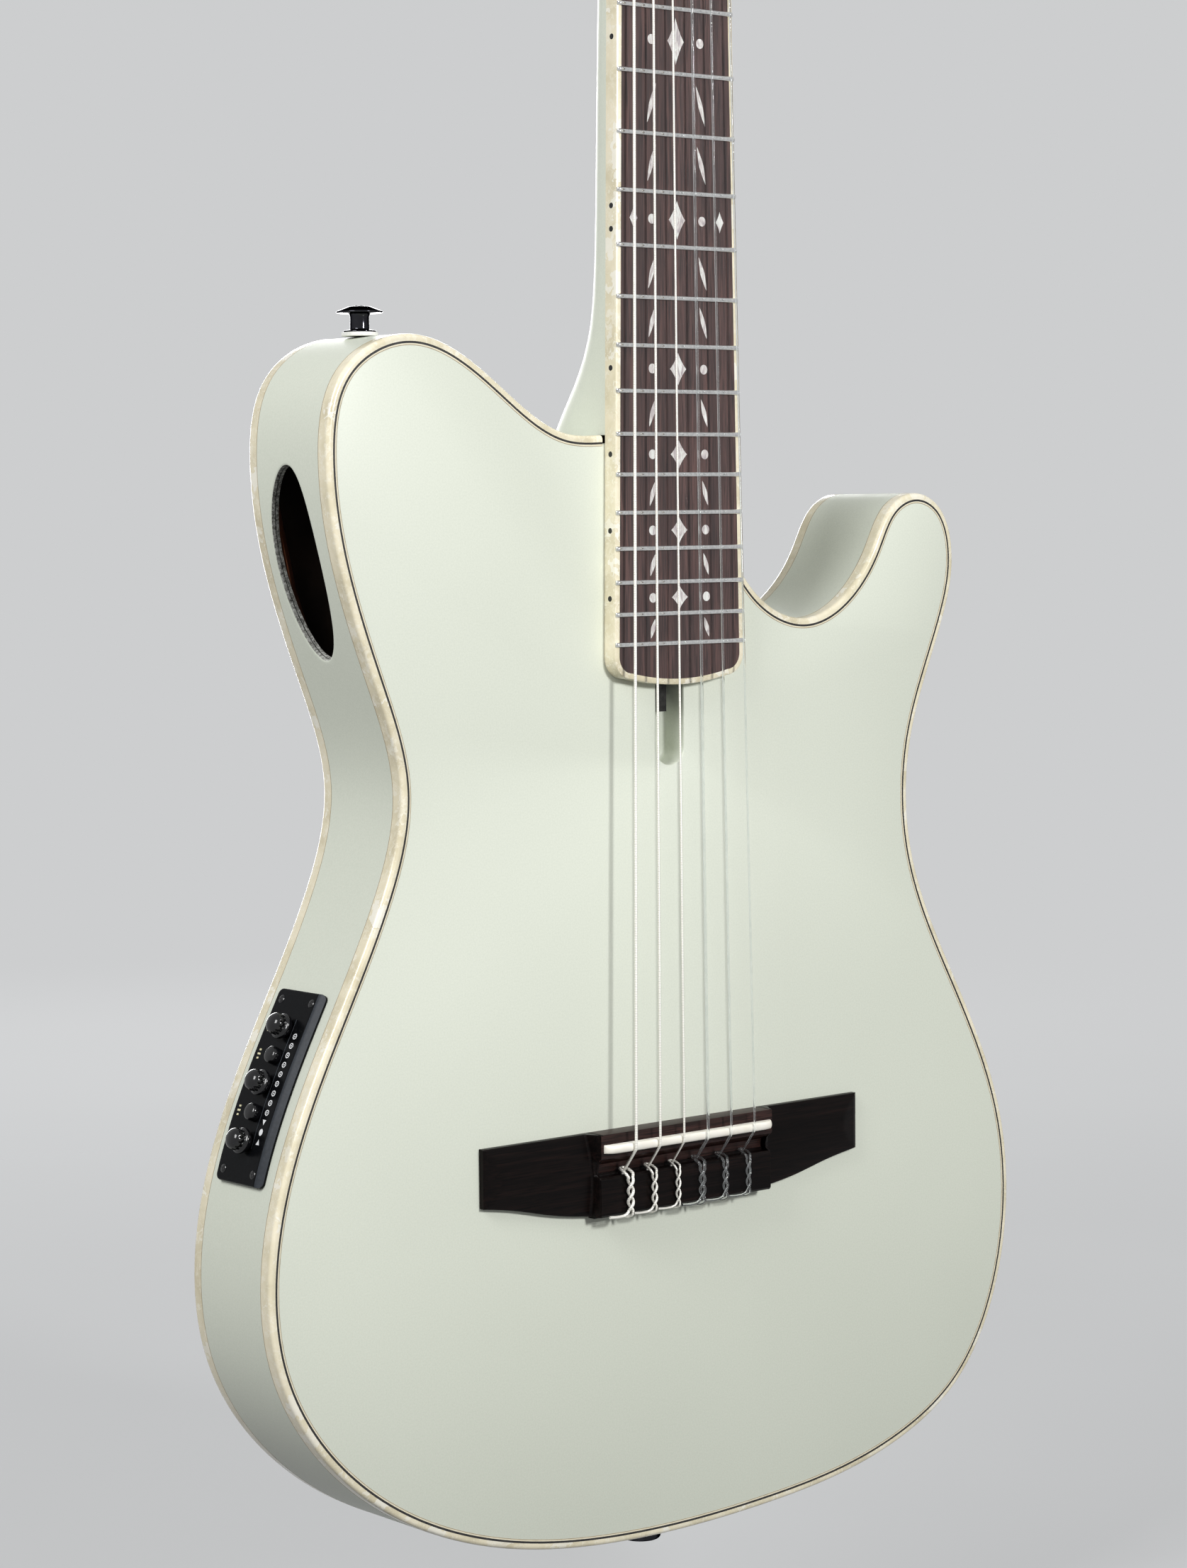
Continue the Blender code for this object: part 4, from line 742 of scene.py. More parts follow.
def hole_patch(edge, rim, thickness, place, wall_rows):
    """The sheet from the edge of the missing cells to a hole, through it and out behind.

    rim gives the hole's outline for a growth, place gives the point for a flat place and a level.
    wall_rows are the growths and levels of the rows that follow the eased lip.
    """
    share = np.linspace(0, 1, 7)[:-1, None, None] ** 0.7
    through = LIP + wall_rows
    lip = np.array([place(rim(grow), level) for grow, level in through])
    front = place(edge[None] * (1 - share) + rim(through[0][0])[None] * share, 0)
    share = share[::-1]
    inside = edge[None] * (1 - share) + rim(through[-1][0])[None] * share
    return np.concatenate([front, lip]), np.concatenate([lip[-1:], place(inside, thickness)])


print(f"port {2 * PORT_HALF_RUN / MM:.1f} by {2 * PORT_HALF_DEPTH / MM:.1f} mm")

# %% [markdown]
# The wall's grid takes its rows from the outline's tape and adds fine, even ones at each hole. A
# dark glue line shows in the middle of the port's cut edge, because the wall is two veneers thick.
# Cutting the holes with a boolean would leave long thin triangles round them.
# %% Wall
def side_grid():
    """Runs and depths of the side's grid, finer round the three holes.

    Runs that lie too close together are thinned out, but never a corner or the edge of a gap.
    """
    gaps = ((PORT_RUN, PORT_GAP, 57), (PREAMP_RUN, PREAMP_GAP, 20), (JACK_RUN, JACK_GAP, 17))
    runs = np.concatenate([stations] + [middle + np.linspace(-half, half, count)
                                        for middle, half, count in gaps])
    runs = np.unique(np.round(runs, 6))
    edges = [middle + side * half for middle, half, _ in gaps for side in (-1, 1)]
    kept = np.isin(runs, np.round(np.concatenate([CORNER_RUN, edges]), 6))
    runs = runs[kept | (np.diff(runs, append=np.inf) > 0.25 * MM)]
    seam = SEAM_DEPTH / MM
    depths = np.unique(np.round(np.concatenate([[seam, 8.0, 13.0, 32.2, BODY_DEPTH / MM - seam],
                                                np.linspace(10.75, 34.75, 13), [37.6]]), 4)) * MM
    return runs, depths


def make_sides():
    """The wall's outer and inner face, with the holes' patches and the flat edges between."""
    runs, depths = side_grid()
    grid = np.stack(np.meshgrid(runs, depths, indexing="ij"), -1)

    def place(flat, level):
        """A flat place on the wall, at a level in from its outer face."""
        return along_rim(flat[..., 0], -level, flat[..., 1])

    def block(middle, half, depth0, depth1):
        """First and last row and column of the cells that a gap takes out."""
        return [int(np.argmin(abs(line - at))) for line, at in (
            (runs, middle - half), (runs, middle + half), (depths, depth0), (depths, depth1))]

    skip = np.zeros((len(runs), len(depths) - 1), bool)
    parts = []
    round_holes = [
        (block(PORT_RUN, PORT_GAP, depths[1], depths[-2]),
         (PORT_RUN, PORT_DEPTH), (PORT_HALF_RUN, PORT_HALF_DEPTH)),
        (block(JACK_RUN, JACK_GAP, 10.75 * MM, 34.75 * MM),
         (JACK_RUN, BODY_DEPTH / 2), (JACK_HOLE, JACK_HOLE))]
    for (r0, r1, c0, c1), centre, halves in round_holes:
        skip[r0:r1, c0:c1] = True
        rows, columns = border(r0, r1, c0, c1)
        edge = grid[rows, columns]
        outer, inner = hole_patch(edge, lambda grow: oval_rim(edge, np.array(centre), halves, grow),
                                  WALL, place, PLY_ROWS)
        lip, glue = len(outer) - len(PLY_ROWS) - 2, len(outer) - len(PLY_ROWS)
        parts += [sheet(outer[:lip + 1], around=True),
                  sheet(outer[lip:glue + 1], around=True, finish=2),
                  sheet(outer[glue:glue + 2], around=True, finish=3),
                  sheet(outer[glue + 1:], around=True, finish=2),
                  sheet(inner, around=True, finish=1)]
    r0, r1, c0, c1 = block(PREAMP_RUN, PREAMP_GAP, 13 * MM, 32.2 * MM)
    skip[r0:r1, c0:c1] = True
    rows, columns = border(r0, r1, c0, c1)
    edge = grid[rows, columns]
    parts.append(sheet(np.array([place(edge, 0), place(edge, WALL)]), around=True, finish=1))
    parts.append(sheet(place(grid, 0), along=True, skip=skip))
    parts.append(sheet(place(grid, WALL), along=True, skip=skip, finish=1))
    for column in (0, -1):
        ends = np.stack([place(grid[:, column], 0), place(grid[:, column], WALL)], 1)
        parts.append(sheet(ends, along=True, finish=1))
    piece("side_walls", parts, [PAINT, SHADED_INNER_WOOD, CUT_EDGE, BLACK_LINE_AND_SLOT_SHADE], "paint_sage_white",
          stands_for=["side_bass", "side_treble"])


make_sides()

# %% [markdown]
# ## Neck
# The neck is carved from one piece: a rounded shaft that swells into a deep heel. Its section is
# half a superellipse, from a plain oval on the shaft to almost a box at the heel, drawn in
# towards the back. Whole sections are the knots of one spline, so the carving flows.
# %% Neck shaft and heel
NUT_HALF, LAST_FRET_HALF = 23 * MM, 30.5 * MM
FRET_COUNT = 22
BOARD_TOP = -5.8 * MM
HEAD_TILT = math.radians(12)
HEAD_FOOT_Z = 5 * MM
HEAD_KNOTS = ((11, 26.2, 18.8, 6.0), (3, 24.0, 17.0, 3.4))
NECK_KNOTS = ((-1, 14.9, 2.4, 0), (-60, 15.0, 2.2, 0), (-150, 15.7, 2.2, 0), (-250, 16.5, 2.2, 0),
              (-312, 17.5, 2.3, 0), (-335, 19.5, 2.4, 0.02), (-348, 23, 2.6, 0.05),
              (-358, 28, 2.9, 0.08), (-366, 33.5, 3.2, 0.11), (-374, 39.5, 3.6, 0.14),
              (-382.65, 45.2, 4.0, 0.17))


def fret_z(number):
    """Where a fret lies: each shortens the string by one twelfth root of two."""
    return SADDLE_Z + SCALE_LENGTH * 2.0 ** (-np.asarray(number, float) / 12)


def board_half(z):
    """Half the board's width, which grows in a straight line from the nut to the last fret."""
    return NUT_HALF + (LAST_FRET_HALF - NUT_HALF) * np.asarray(z) / fret_z(FRET_COUNT)


def head_place(x, v, u):
    """A point of the head: v goes in from its face, u runs up it, tilted back."""
    x, v, u = np.broadcast_arrays(x, v, u)
    return np.stack([x, v * math.cos(HEAD_TILT) + u * math.sin(HEAD_TILT),
                     HEAD_FOOT_Z - v * math.sin(HEAD_TILT) + u * math.cos(HEAD_TILT)], -1)


def neck_section(half_width, depth, power, waist):
    """Half a superellipse: cosine and sine of the angle raised to two over the power."""
    angle = np.linspace(0, math.pi, 41)
    across = np.sign(np.cos(angle)) * np.abs(np.cos(angle)) ** (2 / power)
    down = np.abs(np.sin(angle)) ** (2 / power)
    return half_width * across * (1 - waist * down), depth * down


def make_neck():
    """The carving: two sections on the tilted head, then the others down the neck."""
    rings = []
    for u, half, depth, power in HEAD_KNOTS:
        x, v = neck_section(half * MM, depth * MM, power, 0)
        rings.append(head_place(x, v, u * MM))
    for z, depth, power, waist in NECK_KNOTS:
        x, y = neck_section(board_half(z * MM), depth * MM, power, waist)
        rings.append(np.stack([x, y, np.full_like(x, z * MM)], -1))
    rings = np.array(rings)
    flowing = batten(rings.reshape(len(rings), -1), 170).reshape(170, -1, 3)
    piece("neck_carving", [capped(flowing)], PAINT, "paint_sage_white", stands_for=["neck"],
          smooth=50)


make_neck()

# %% [markdown]
# ## Slotted head
# Strings of nylon go down through two long slots to rollers inside the head. The head is a slab
# with two stadium-shaped holes, made the same way as the sides: a grid with cells left out, and a
# patch from each gap over a rounded lip and through to the back. Its rim is rolled over as well.
# %% Head
HEAD_THICKNESS = 19 * MM
SLOT_X, SLOT_RADIUS, SLOT_U0, SLOT_U1 = (v * MM for v in (16.5, 8, 26, 142))
GAP_U, GAP_X = (20.5, 147.5), (4.5, 29)
HEAD_OUTLINE = [(25.4, 11), (27.2, 13), (29, 16), (31.3, 19.5), (33.5, 23.5), (34.6, 26.8),
                (35, 30.5), (35, 158), (34.8, 163), (33.6, 168), (31.5, 172), (28, 174.8),
                (23, 176.6), (18, 178), (13, 180), (8, 182), (4, 183.4), (0, 184)]


def stadium_rim(edge, side, grow):
    """Points of a stadium: each lies a radius away from its core line, towards the edge."""
    core = np.stack([np.full(len(edge), side * SLOT_X),
                     np.clip(edge[:, 1], SLOT_U0 + SLOT_RADIUS, SLOT_U1 - SLOT_RADIUS)], -1)
    away = edge - core
    return core + away / np.linalg.norm(away, axis=1, keepdims=True) * (SLOT_RADIUS + grow)


def make_head():
    """The slab: one grid for the face and one for the back, the slots' patches and the rim."""
    roll = 1.6 * MM
    right = np.array(HEAD_OUTLINE) * MM
    inner = right + inward(np.vstack([right, right[-2::-1] * (-1, 1)]))[:len(right)] * roll
    rows = np.concatenate([np.linspace(inner[0, 1], GAP_U[0] * MM, 7)[:-1],
                           np.linspace(*GAP_U, 52) * MM,
                           np.linspace(GAP_U[1] * MM, inner[-1, 1], 26)[1:]])
    half = np.interp(rows, inner[:, 1], inner[:, 0])[:, None]
    half[-1] = 0
    near, far = GAP_X
    lines = np.unique(np.concatenate([np.linspace(-far, -near, 12), np.linspace(-near, near, 4),
                                      np.linspace(near, far, 12)]).round(6)) * MM
    within = lines[None] * np.minimum(1, half * 0.97 / lines[-1])
    x = np.concatenate([-half, within, half], axis=1)
    grid = np.stack([x, np.broadcast_to(rows[:, None], x.shape)], -1)

    def place(flat, level):
        """A flat place on the head, at a level in from its face."""
        return head_place(flat[..., 0], level, flat[..., 1])

    skip = np.zeros((len(rows) - 1, x.shape[1] - 1), bool)
    first, last = (int(np.argmin(abs(rows - r * MM))) for r in GAP_U)
    parts = []
    for side in (-1, 1):
        ends = sorted((side * near * MM, side * far * MM))
        c0, c1 = (int(np.argmin(abs(x[first] - e))) for e in ends)
        skip[first:last, c0:c1] = True
        edge = grid[border(first, last, c0, c1)]
        eased = [(grow, HEAD_THICKNESS - level) for grow, level in LIP[::-1]]
        for sheet_points in hole_patch(edge, lambda grow: stadium_rim(edge, side, grow),
                                       HEAD_THICKNESS, place, eased):
            parts.append(sheet(sheet_points, around=True))
    for level in (0, HEAD_THICKNESS):
        parts.append(sheet(place(grid, level), skip=skip))
    rim = np.vstack([grid[0], grid[1:, -1], grid[-2:0:-1, 0]])
    out = -inward(rim)
    bend = np.linspace(0, math.pi / 2, 5)
    rolled = [(roll * math.sin(b), roll * (1 - math.cos(b))) for b in bend]
    rolled += [(reach, HEAD_THICKNESS - level) for reach, level in rolled[::-1]]
    rings = np.array([place(rim + out * reach, level) for reach, level in rolled])
    parts.append(sheet(rings, around=True))
    piece("head_slab", parts, PAINT, "paint_sage_white", stands_for=["neck"])


make_head()

# %% [markdown]
# ## Fretboard
# The board is a flat plate of rosewood with a bowed end, edged in the same pearloid as the body.
# Twenty-two frets lie at the places where each makes the string shorter by one twelfth root of
# two. A fret is a bead of nickel silver whose ends are filed to a bevel, and it runs out over the
# binding to the edge of the board.
# %% Board, binding and frets
def board_outline(margin):
    """The board's edge from the nut round its end: straight, a corner arc, and a shallow bow."""
    end = BOARD_END_Z + margin
    low = end + 2.6 * MM
    corner = 8 * MM - margin
    half = float(board_half(low)) - margin
    turn = np.linspace(0, math.pi / 2, 10)
    arc = np.stack([half - corner + corner * np.cos(turn), low + corner * (1 - np.sin(turn))], -1)
    bow_x = np.linspace(half - corner, 0, 10)[1:]
    bow = np.stack([bow_x, end + (low - end) * (bow_x / (half - corner)) ** 2], -1)
    straight = [(float(board_half(0)) - margin, 0)]
    right = np.vstack([straight, arc, bow])
    return np.vstack([right, right[-2::-1] * (-1, 1)])


BINDING_WIDTH = 2.1 * MM
piece("board", [plate_part(board_outline(BINDING_WIDTH), [(0, -0.05 * MM), (0, BOARD_TOP)])],
      ROSEWOOD, "rosewood", stands_for=["fretboard"])
strip = [(0, -0.05 * MM), (0, BOARD_TOP + 0.6 * MM), (0.16 * MM, BOARD_TOP + 0.18 * MM),
         (0.6 * MM, BOARD_TOP), (BINDING_WIDTH, BOARD_TOP), (BINDING_WIDTH, -0.05 * MM)]
rails = [np.insert(board_outline(inset), 1, depth, axis=1) for inset, depth in strip]
piece("board_binding", [capped(np.stack(rails, 1))], PEARLOID, "pearloid",
      stands_for=["fretboard_binding"])


FRET_HALF, FRET_HEIGHT = 0.9 * MM, 1.1 * MM


def fret_bead(number):
    """A rounded bead across the board, smaller at both ends where it is filed away."""
    z, half = float(fret_z(number)), float(board_half(fret_z(number))) - 0.12 * MM
    angle = np.linspace(-math.pi / 2, math.pi / 2, 11)
    section = np.stack([FRET_HALF * np.sin(angle),
                        -FRET_HEIGHT * np.cos(angle) ** 0.75 - 0.02 * MM], -1)
    section = np.vstack([[(-FRET_HALF, 0.3 * MM)], section, [(FRET_HALF, 0.3 * MM)]])
    reach = np.array([0, 0.12, 0.4, 0.8, 1.2])[:, None] * MM
    size = np.array([0.42, 0.6, 0.84, 0.97, 1.0])[:, None]
    reach, size = np.vstack([half - reach, -(half - reach[::-1])]), np.vstack([size, size[::-1]])
    across = np.broadcast_to(reach, (len(reach), len(section)))
    rise = np.minimum(section[None, :, 1], 0) * size + np.maximum(section[None, :, 1], 0)
    return capped(np.stack([across, BOARD_TOP + rise, z + section[None, :, 0] * size ** 0.3], -1))


piece("frets", [fret_bead(n + 1) for n in range(FRET_COUNT)], FRET_METAL, "nickel",
      stands_for=["fretboard"], smooth=50)

# %% [markdown]
# Markers help the player find a place: black dots on the edge of the binding, and shell inlay in
# the board. The inlay here is a plain design: a hollow-sided lozenge between two dots at each
# marked place, and a pair of slim leaning lozenges in the spaces between. Each is a thin plate
# whose outline is one formula, a superellipse: round at power two, hollow-sided below one.
# %% Markers
MARKED = (3, 5, 7, 9, 12, 15, 17, 19, 21)


def star_shape(x, z, half_x, half_z, power, count=48):
    """A superellipse: round at power two, a lozenge at one, hollow-sided below one."""
    angle = full_turn(count)
    c, s = np.cos(angle), np.sin(angle)
    return np.stack([x + half_x * np.sign(c) * np.abs(c) ** (2 / power),
                     z + half_z * np.sign(s) * np.abs(s) ** (2 / power)], -1)


def tilted(shape, centre, angle):
    """An outline turned about a centre."""
    c, s = math.cos(angle), math.sin(angle)
    return (shape - centre) @ np.array([(c, s), (-s, c)]) + centre


def make_inlay():
    """The shell inlay: its design for each space between two frets."""
    shapes = []
    for space in range(1, FRET_COUNT + 1):
        upper, lower = (float(fret_z(n)) for n in (space - 1, space))
        middle, length = (upper + lower) / 2, upper - lower
        far = 0.42 * float(board_half(middle))
        if space in MARKED:
            shapes.append(star_shape(0, middle, 3.9 * MM, min(0.36 * length, 9 * MM), 0.85))
            shapes += [star_shape(side * far, middle, 1.7 * MM, 1.7 * MM, 2) for side in (-1, 1)]
        else:
            for side in (-1, 1):
                slim = star_shape(side * far, middle, 1.0 * MM, min(0.34 * length, 8 * MM), 1.25)
                shapes.append(tilted(slim, (side * far, middle), side * 0.3))
        if space == 12:
            shapes += [star_shape(side * 1.72 * far, middle, 1.9 * MM, 0.2 * length, 0.85)
                       for side in (-1, 1)]
    levels = [(0, BOARD_TOP + 0.1 * MM), (0, BOARD_TOP - 0.03 * MM)]
    piece("pearl_inlay", [plate_part(shape, levels) for shape in shapes], PEARL_SHELL, "pearloid",
          stands_for=["fretboard"])


def make_side_dots():
    """Dots on the binding's bass side, at the board's own width there: two at the twelfth."""
    dots = []
    wide, narrow = board_outline(0)[1::-1]
    for space, offset in [(n, shift) for n in MARKED for shift in ((-4, 4) if n == 12 else (0,))]:
        z = float(fret_z(space - 1) + fret_z(space)) / 2 + offset * MM
        half = float(np.interp(z, (wide[1], narrow[1]), (wide[0], narrow[0])))
        out = Matrix.Translation((-half, -3.0 * MM, z)) @ Matrix.Rotation(-math.pi / 2, 4, "Y")
        dots.append(sheet(turned([(0, 0.06 * MM), (1.0 * MM, 0.05 * MM), (1.05 * MM, -0.3 * MM)],
                                 20, out), around=True))
    piece("side_dots", dots, KNOB_BLACK, "black_plastic", stands_for=["fretboard_binding"])


make_inlay()
make_side_dots()

# %% [markdown]
# ## Nut, bridge and saddle
# The nut and the tie block of the bridge have the right shape as solids, but knife-sharp edges. A
# copy of the solid is merged, its flat faces are joined again, and a small bevel eases the edges
# as sanding does. Where only a part of the solid is wanted, planes cut the rest of the copy away.
# %% Softened copies
EASED_ANGLE = 28


def softened(name, node, width, finish, slot, cuts=()):
    """A merged copy of a solid with its edges eased, which stands for it.

    Each cut is a place and a direction: what lies beyond that plane is taken off, and closed.
    """
    mesh = frame["nodes"][node].data.copy()
    skin = bmesh.new()
    skin.from_mesh(mesh)
    bmesh.ops.remove_doubles(skin, verts=skin.verts, dist=2e-6)
    for place, direction in cuts:
        cut = bmesh.ops.bisect_plane(skin, geom=[*skin.verts, *skin.edges, *skin.faces],
                                     plane_co=place, plane_no=direction, clear_outer=True)
        rim = [edge for edge in cut["geom_cut"] if isinstance(edge, bmesh.types.BMEdge)]
        bmesh.ops.edgeloop_fill(skin, edges=rim)
    bmesh.ops.recalc_face_normals(skin, faces=skin.faces)
    bmesh.ops.dissolve_limit(skin, angle_limit=math.radians(1), verts=skin.verts,
                             edges=skin.edges)
    skin.to_mesh(mesh)
    skin.free()
    mesh.materials.clear()
    body = frame["nodes"][node]["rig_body"]
    made = shown(name, mesh, [finish], slot, body, [node], EASED_ANGLE)
    bevel = made.modifiers.new("eased edges", "BEVEL")
    bevel.width, bevel.segments = width, 2
    bevel.limit_method, bevel.angle_limit = "ANGLE", math.radians(EASED_ANGLE)


CHEEK_IN = 40.4 * MM
TIE_CUTS = [((41 * MM, 0, 0), (1, 0, 0)), ((-41 * MM, 0, 0), (-1, 0, 0)),
            ((0, 0, SADDLE_Z - 9.4 * MM), (0, 0, 1))]
softened("nut_block", "nut", 0.18 * MM, BONE, "bone")
softened("tie_block", "bridge", 0.35 * MM, BRIDGE_WOOD, "bridge_wood", TIE_CUTS)

# %% [markdown]
# In front of the block runs the ridge that holds the saddle, and a channel between the two. One
# profile drawn along the bridge makes both. At each end a wing spreads out. Its height is the lower
# of two rules: a crown along its middle, and a plane that rises from the tip, so that they meet in
# the curved crease of a hand-cut facet. Next to the ridge the wing climbs a small cove to a cheek
# that closes the channel.
# %% Ridge and wings
def make_ridge():
    """The ridge and the channel behind it: one section drawn from cheek to cheek."""
    profile = np.array([(5.2, 0.02), (5.2, 7.6), (5.06, 8.0), (4.7, 8.2), (-3.0, 8.2), (-3.7, 7.9),
                        (-4.9, 6.2), (-5.5, 4.2), (-6.3, 3.2), (-7.6, 2.9), (-10.8, 2.9),
                        (-10.8, 0.02)]) * MM
    ends = np.array([-1, 1])[:, None] * CHEEK_IN * 1.02
    x, y, z = np.broadcast_arrays(ends, -profile[None, :, 1], SADDLE_Z + profile[None, :, 0])
    return capped(np.stack([x, y, z], -1))


REAR_EDGE = batten([(90, -15.8), (75, -18.4), (59, -22.1), (44.3, -24.4), (40, -24.9)], 60)
WING_FRONT, WING_REAR, WING_TIP = 5.2, -24.9, 90
WING_EDGE, COVE = 2.6, 0.9
FOOT_LINE = np.array([(-25.5, 41.9), (-11.3, 41.9), (-2.2, 42.7), (5.3, 43.7)])
CHEEK_TOP = np.array([(-25.5, 7.3), (-10.9, 7.3), (-10.2, 6.9), (-9.4, 5.5), (-8, 5.3), (-5.6, 6.0),
                      (-3.4, 8.0), (-3, 8.17), (5.3, 8.17)])


def wing_parts(side):
    """The wing and its cheek, in millimetres from the saddle.

    Rows run out from the cheek to the tip, columns from the front edge to the rear. The first
    rows climb over the cheek and down a cove, all the others carry the two rules.
    """
    share = np.concatenate([[0, 0.003, 0.008, 0.015], np.linspace(0.025, 0.975, 80),
                            [0.985, 0.992, 0.997, 1]])[None]
    middle = WING_FRONT + (WING_REAR - WING_FRONT) * share
    foot = np.interp(middle, *FOOT_LINE.T)
    top = np.interp(middle, *CHEEK_TOP.T)
    climb = [(40.4, 0), (40.9, 0), (41.05, 0.05), (41.2, 0.2), (41.25, 0.4)]
    bend = np.radians([0, 20, 40, 60, 80, 90])
    run = np.linspace(0, 1, 44)[1:, None]
    x = np.vstack([np.full_like(middle, out) for out, _ in climb]
                  + [foot + COVE * (1 - np.cos(b)) for b in bend]
                  + [foot + COVE + (WING_TIP - foot - COVE) * run])
    rear = np.interp(x, *REAR_EDGE[::-1].T)
    z = WING_FRONT + (rear - WING_FRONT) * share
    across = (2 * share - 1) * np.ones_like(x)
    crown = WING_EDGE + 1.3 * (1 - across ** 2)
    facet = WING_EDGE + 0.165 * (WING_TIP - x)
    height = np.minimum(crown, facet)
    level = len(climb)
    for k, (_, lower) in enumerate(climb):
        height[k] = top - lower
    for k, b in enumerate(bend):
        height[level + k] = crown[level + k] + COVE * (1 - np.sin(b))
    edge = np.minimum(np.minimum(WING_FRONT - z, z - rear), WING_TIP - x)
    ease = 0.45
    height = height - ease + np.sqrt(ease ** 2 - (ease - np.clip(edge, 0, ease)) ** 2)
    surface = np.stack([side * x, -height, z + SADDLE_Z / MM], -1) * MM
    base = surface * (1, 0, 1) - (0, 0.02 * MM, 0)
    ring = border(0, len(x) - 1, 0, x.shape[1] - 1)
    return [sheet(surface), sheet(base), sheet(np.array([surface[ring], base[ring]]), around=True)]


# The ridge and its channel take the lighter tone of the bridge wood, painted light.
piece("bridge_ridge", [make_ridge()], RIDGE_WOOD, "bridge_wood", stands_for=["bridge"], smooth=30)
for name, side in (("bass", -1), ("treble", 1)):
    piece(f"bridge_wing_{name}", wing_parts(side), BRIDGE_WOOD, "bridge_wood",
          stands_for=["bridge"], smooth=24)

# %% [markdown]
# The saddle is a strip of bone that stands in a groove of the ridge. Filing has rounded its top
# across, and it falls away at both ends. The section is the same everywhere, only lowered, so one
# grid makes it.
# %% Saddle
SADDLE_FOOT = -4.1
SADDLE_END = [(40.1, SADDLE_FOOT), (40.1, -9.4), (38.4, -11.2), (35, -11.75)]


def make_saddle():
    """A bone strip: its top is a half round, and it falls away in a curve at both ends."""
    outline = rounded([(-x, y) for x, y in SADDLE_END] + SADDLE_END[::-1], 1.2, 5) * MM
    bend = np.linspace(-math.pi / 2, math.pi / 2, 9)
    across, lower = 1.5 * MM * np.sin(bend), 0.9 * MM * (1 - np.cos(bend))
    top = outline[:, 1:] + lower[None]
    base = np.full((len(outline), 1), SADDLE_FOOT * MM)
    y = np.concatenate([base, np.minimum(top, SADDLE_FOOT * MM), base], axis=1)
    z = SADDLE_Z + np.concatenate([[across[0]], across, [across[-1]]])
    x = np.broadcast_to(outline[:, :1], y.shape)
    piece("saddle_bone", [capped(np.stack([x, y, np.broadcast_to(z, y.shape)], -1))], BONE,
          "bone", stands_for=["saddle"], smooth=40)


make_saddle()

# %% [markdown]
# ## Preamp panel
# The electronics sit in a black moulded panel on the bass side. It bends with the side, so it is
# a height field over the outline: a rounded rectangle whose height is the lower of two rules. One
# rounds all its edges over, the other slopes the edge towards the soundboard down in a broad
# bevel, coloured a lighter grey as painted sheen. Round corners come from pressing the corners of
# the square grid onto quarter circles.
# %% Panel
PANEL_PROUD = 2.3 * MM
CONTROL_DEPTH = 22.6 * MM
CONTROL_STEP = 10.1 * MM


def make_panel():
    """The moulding: a pressed grid whose height is the lower of the two rules."""
    half_run, half_depth, corner = PREAMP_LENGTH / 2, (PREAMP_BACK - PREAMP_FRONT) / 2, 2.2 * MM
    near = np.array([0, 0.1, 0.22, 0.36, 0.52, 0.7, 1.0, 1.4, 1.8, 2.2]) * MM

    def lines(half, count):
        """Grid lines across the panel, close together near both edges."""
        inner = np.linspace(corner - half, half - corner, count)
        return np.concatenate([near[:-1] - half, inner, (half - near[:-1])[::-1]])

    run, depth = np.meshgrid(lines(half_run, 60), lines(half_depth, 24), indexing="ij")
    p, q = (np.clip((np.abs(a) - h + corner) / corner, 0, 1)
            for a, h in ((run, half_run), (depth, half_depth)))
    pressed_run = half_run - corner + corner * p * np.sqrt(1 - q * q / 2)
    pressed_depth = half_depth - corner + corner * q * np.sqrt(1 - p * p / 2)
    run = np.where(p > 0, np.sign(run) * pressed_run, run)
    depth = np.where(q > 0, np.sign(depth) * pressed_depth, depth)
    out_run, out_depth = np.abs(run) - half_run + corner, np.abs(depth) - half_depth + corner
    inside = corner - np.hypot(np.maximum(out_run, 0), np.maximum(out_depth, 0))
    inside = np.maximum(np.where((out_run > 0) | (out_depth > 0), inside,
                                 corner - np.maximum(out_run, out_depth)), 0)
    ease, low, bevel = 0.7 * MM, 0.9 * MM, 3 * MM
    level = PANEL_PROUD - ease + np.sqrt(ease ** 2 - (ease - np.minimum(inside, ease)) ** 2)
    slope = low + (PANEL_PROUD - low) * (depth + half_depth) / bevel
    level = np.minimum(level, slope)
    run, depth = PREAMP_RUN + run, CONTROL_DEPTH + depth
    top, base = along_rim(run, level, depth), along_rim(run, 0.3 * MM, depth)
    ring = border(0, len(run) - 1, 0, run.shape[1] - 1)
    # The bevel's faces are coloured a lighter grey: painted sheen on the same black moulding.
    bevel_sheen = (np.arange(run.shape[1] - 1) < 10).astype(int)
    top = sheet(top, finish=np.tile(bevel_sheen, len(run) - 1).tolist())
    wall = sheet(np.array([top[0].reshape(base.shape)[ring], base[ring]]), around=True)
    piece("panel_moulding", [top, sheet(base), wall], [PANEL_BLACK, SHEEN_AND_LINE_GREY], "black_plastic",
          stands_for=["preamp_panel"], smooth=30)


make_panel()

# %% [markdown]
# Four small screws hold the panel. A screw head is a low dome with a cross in it, and two thin dark
# bars draw the cross at this size: their dark colour is painted shade in the cross's slot. The same
# flat-shape idea makes the printed marks: a real thin plate stays sharp in a close view, where a
# painted image would blur.
# %% Screws and marks
SQUARE = np.array([(-1, -1), (1, -1), (1, 1), (-1, 1)])


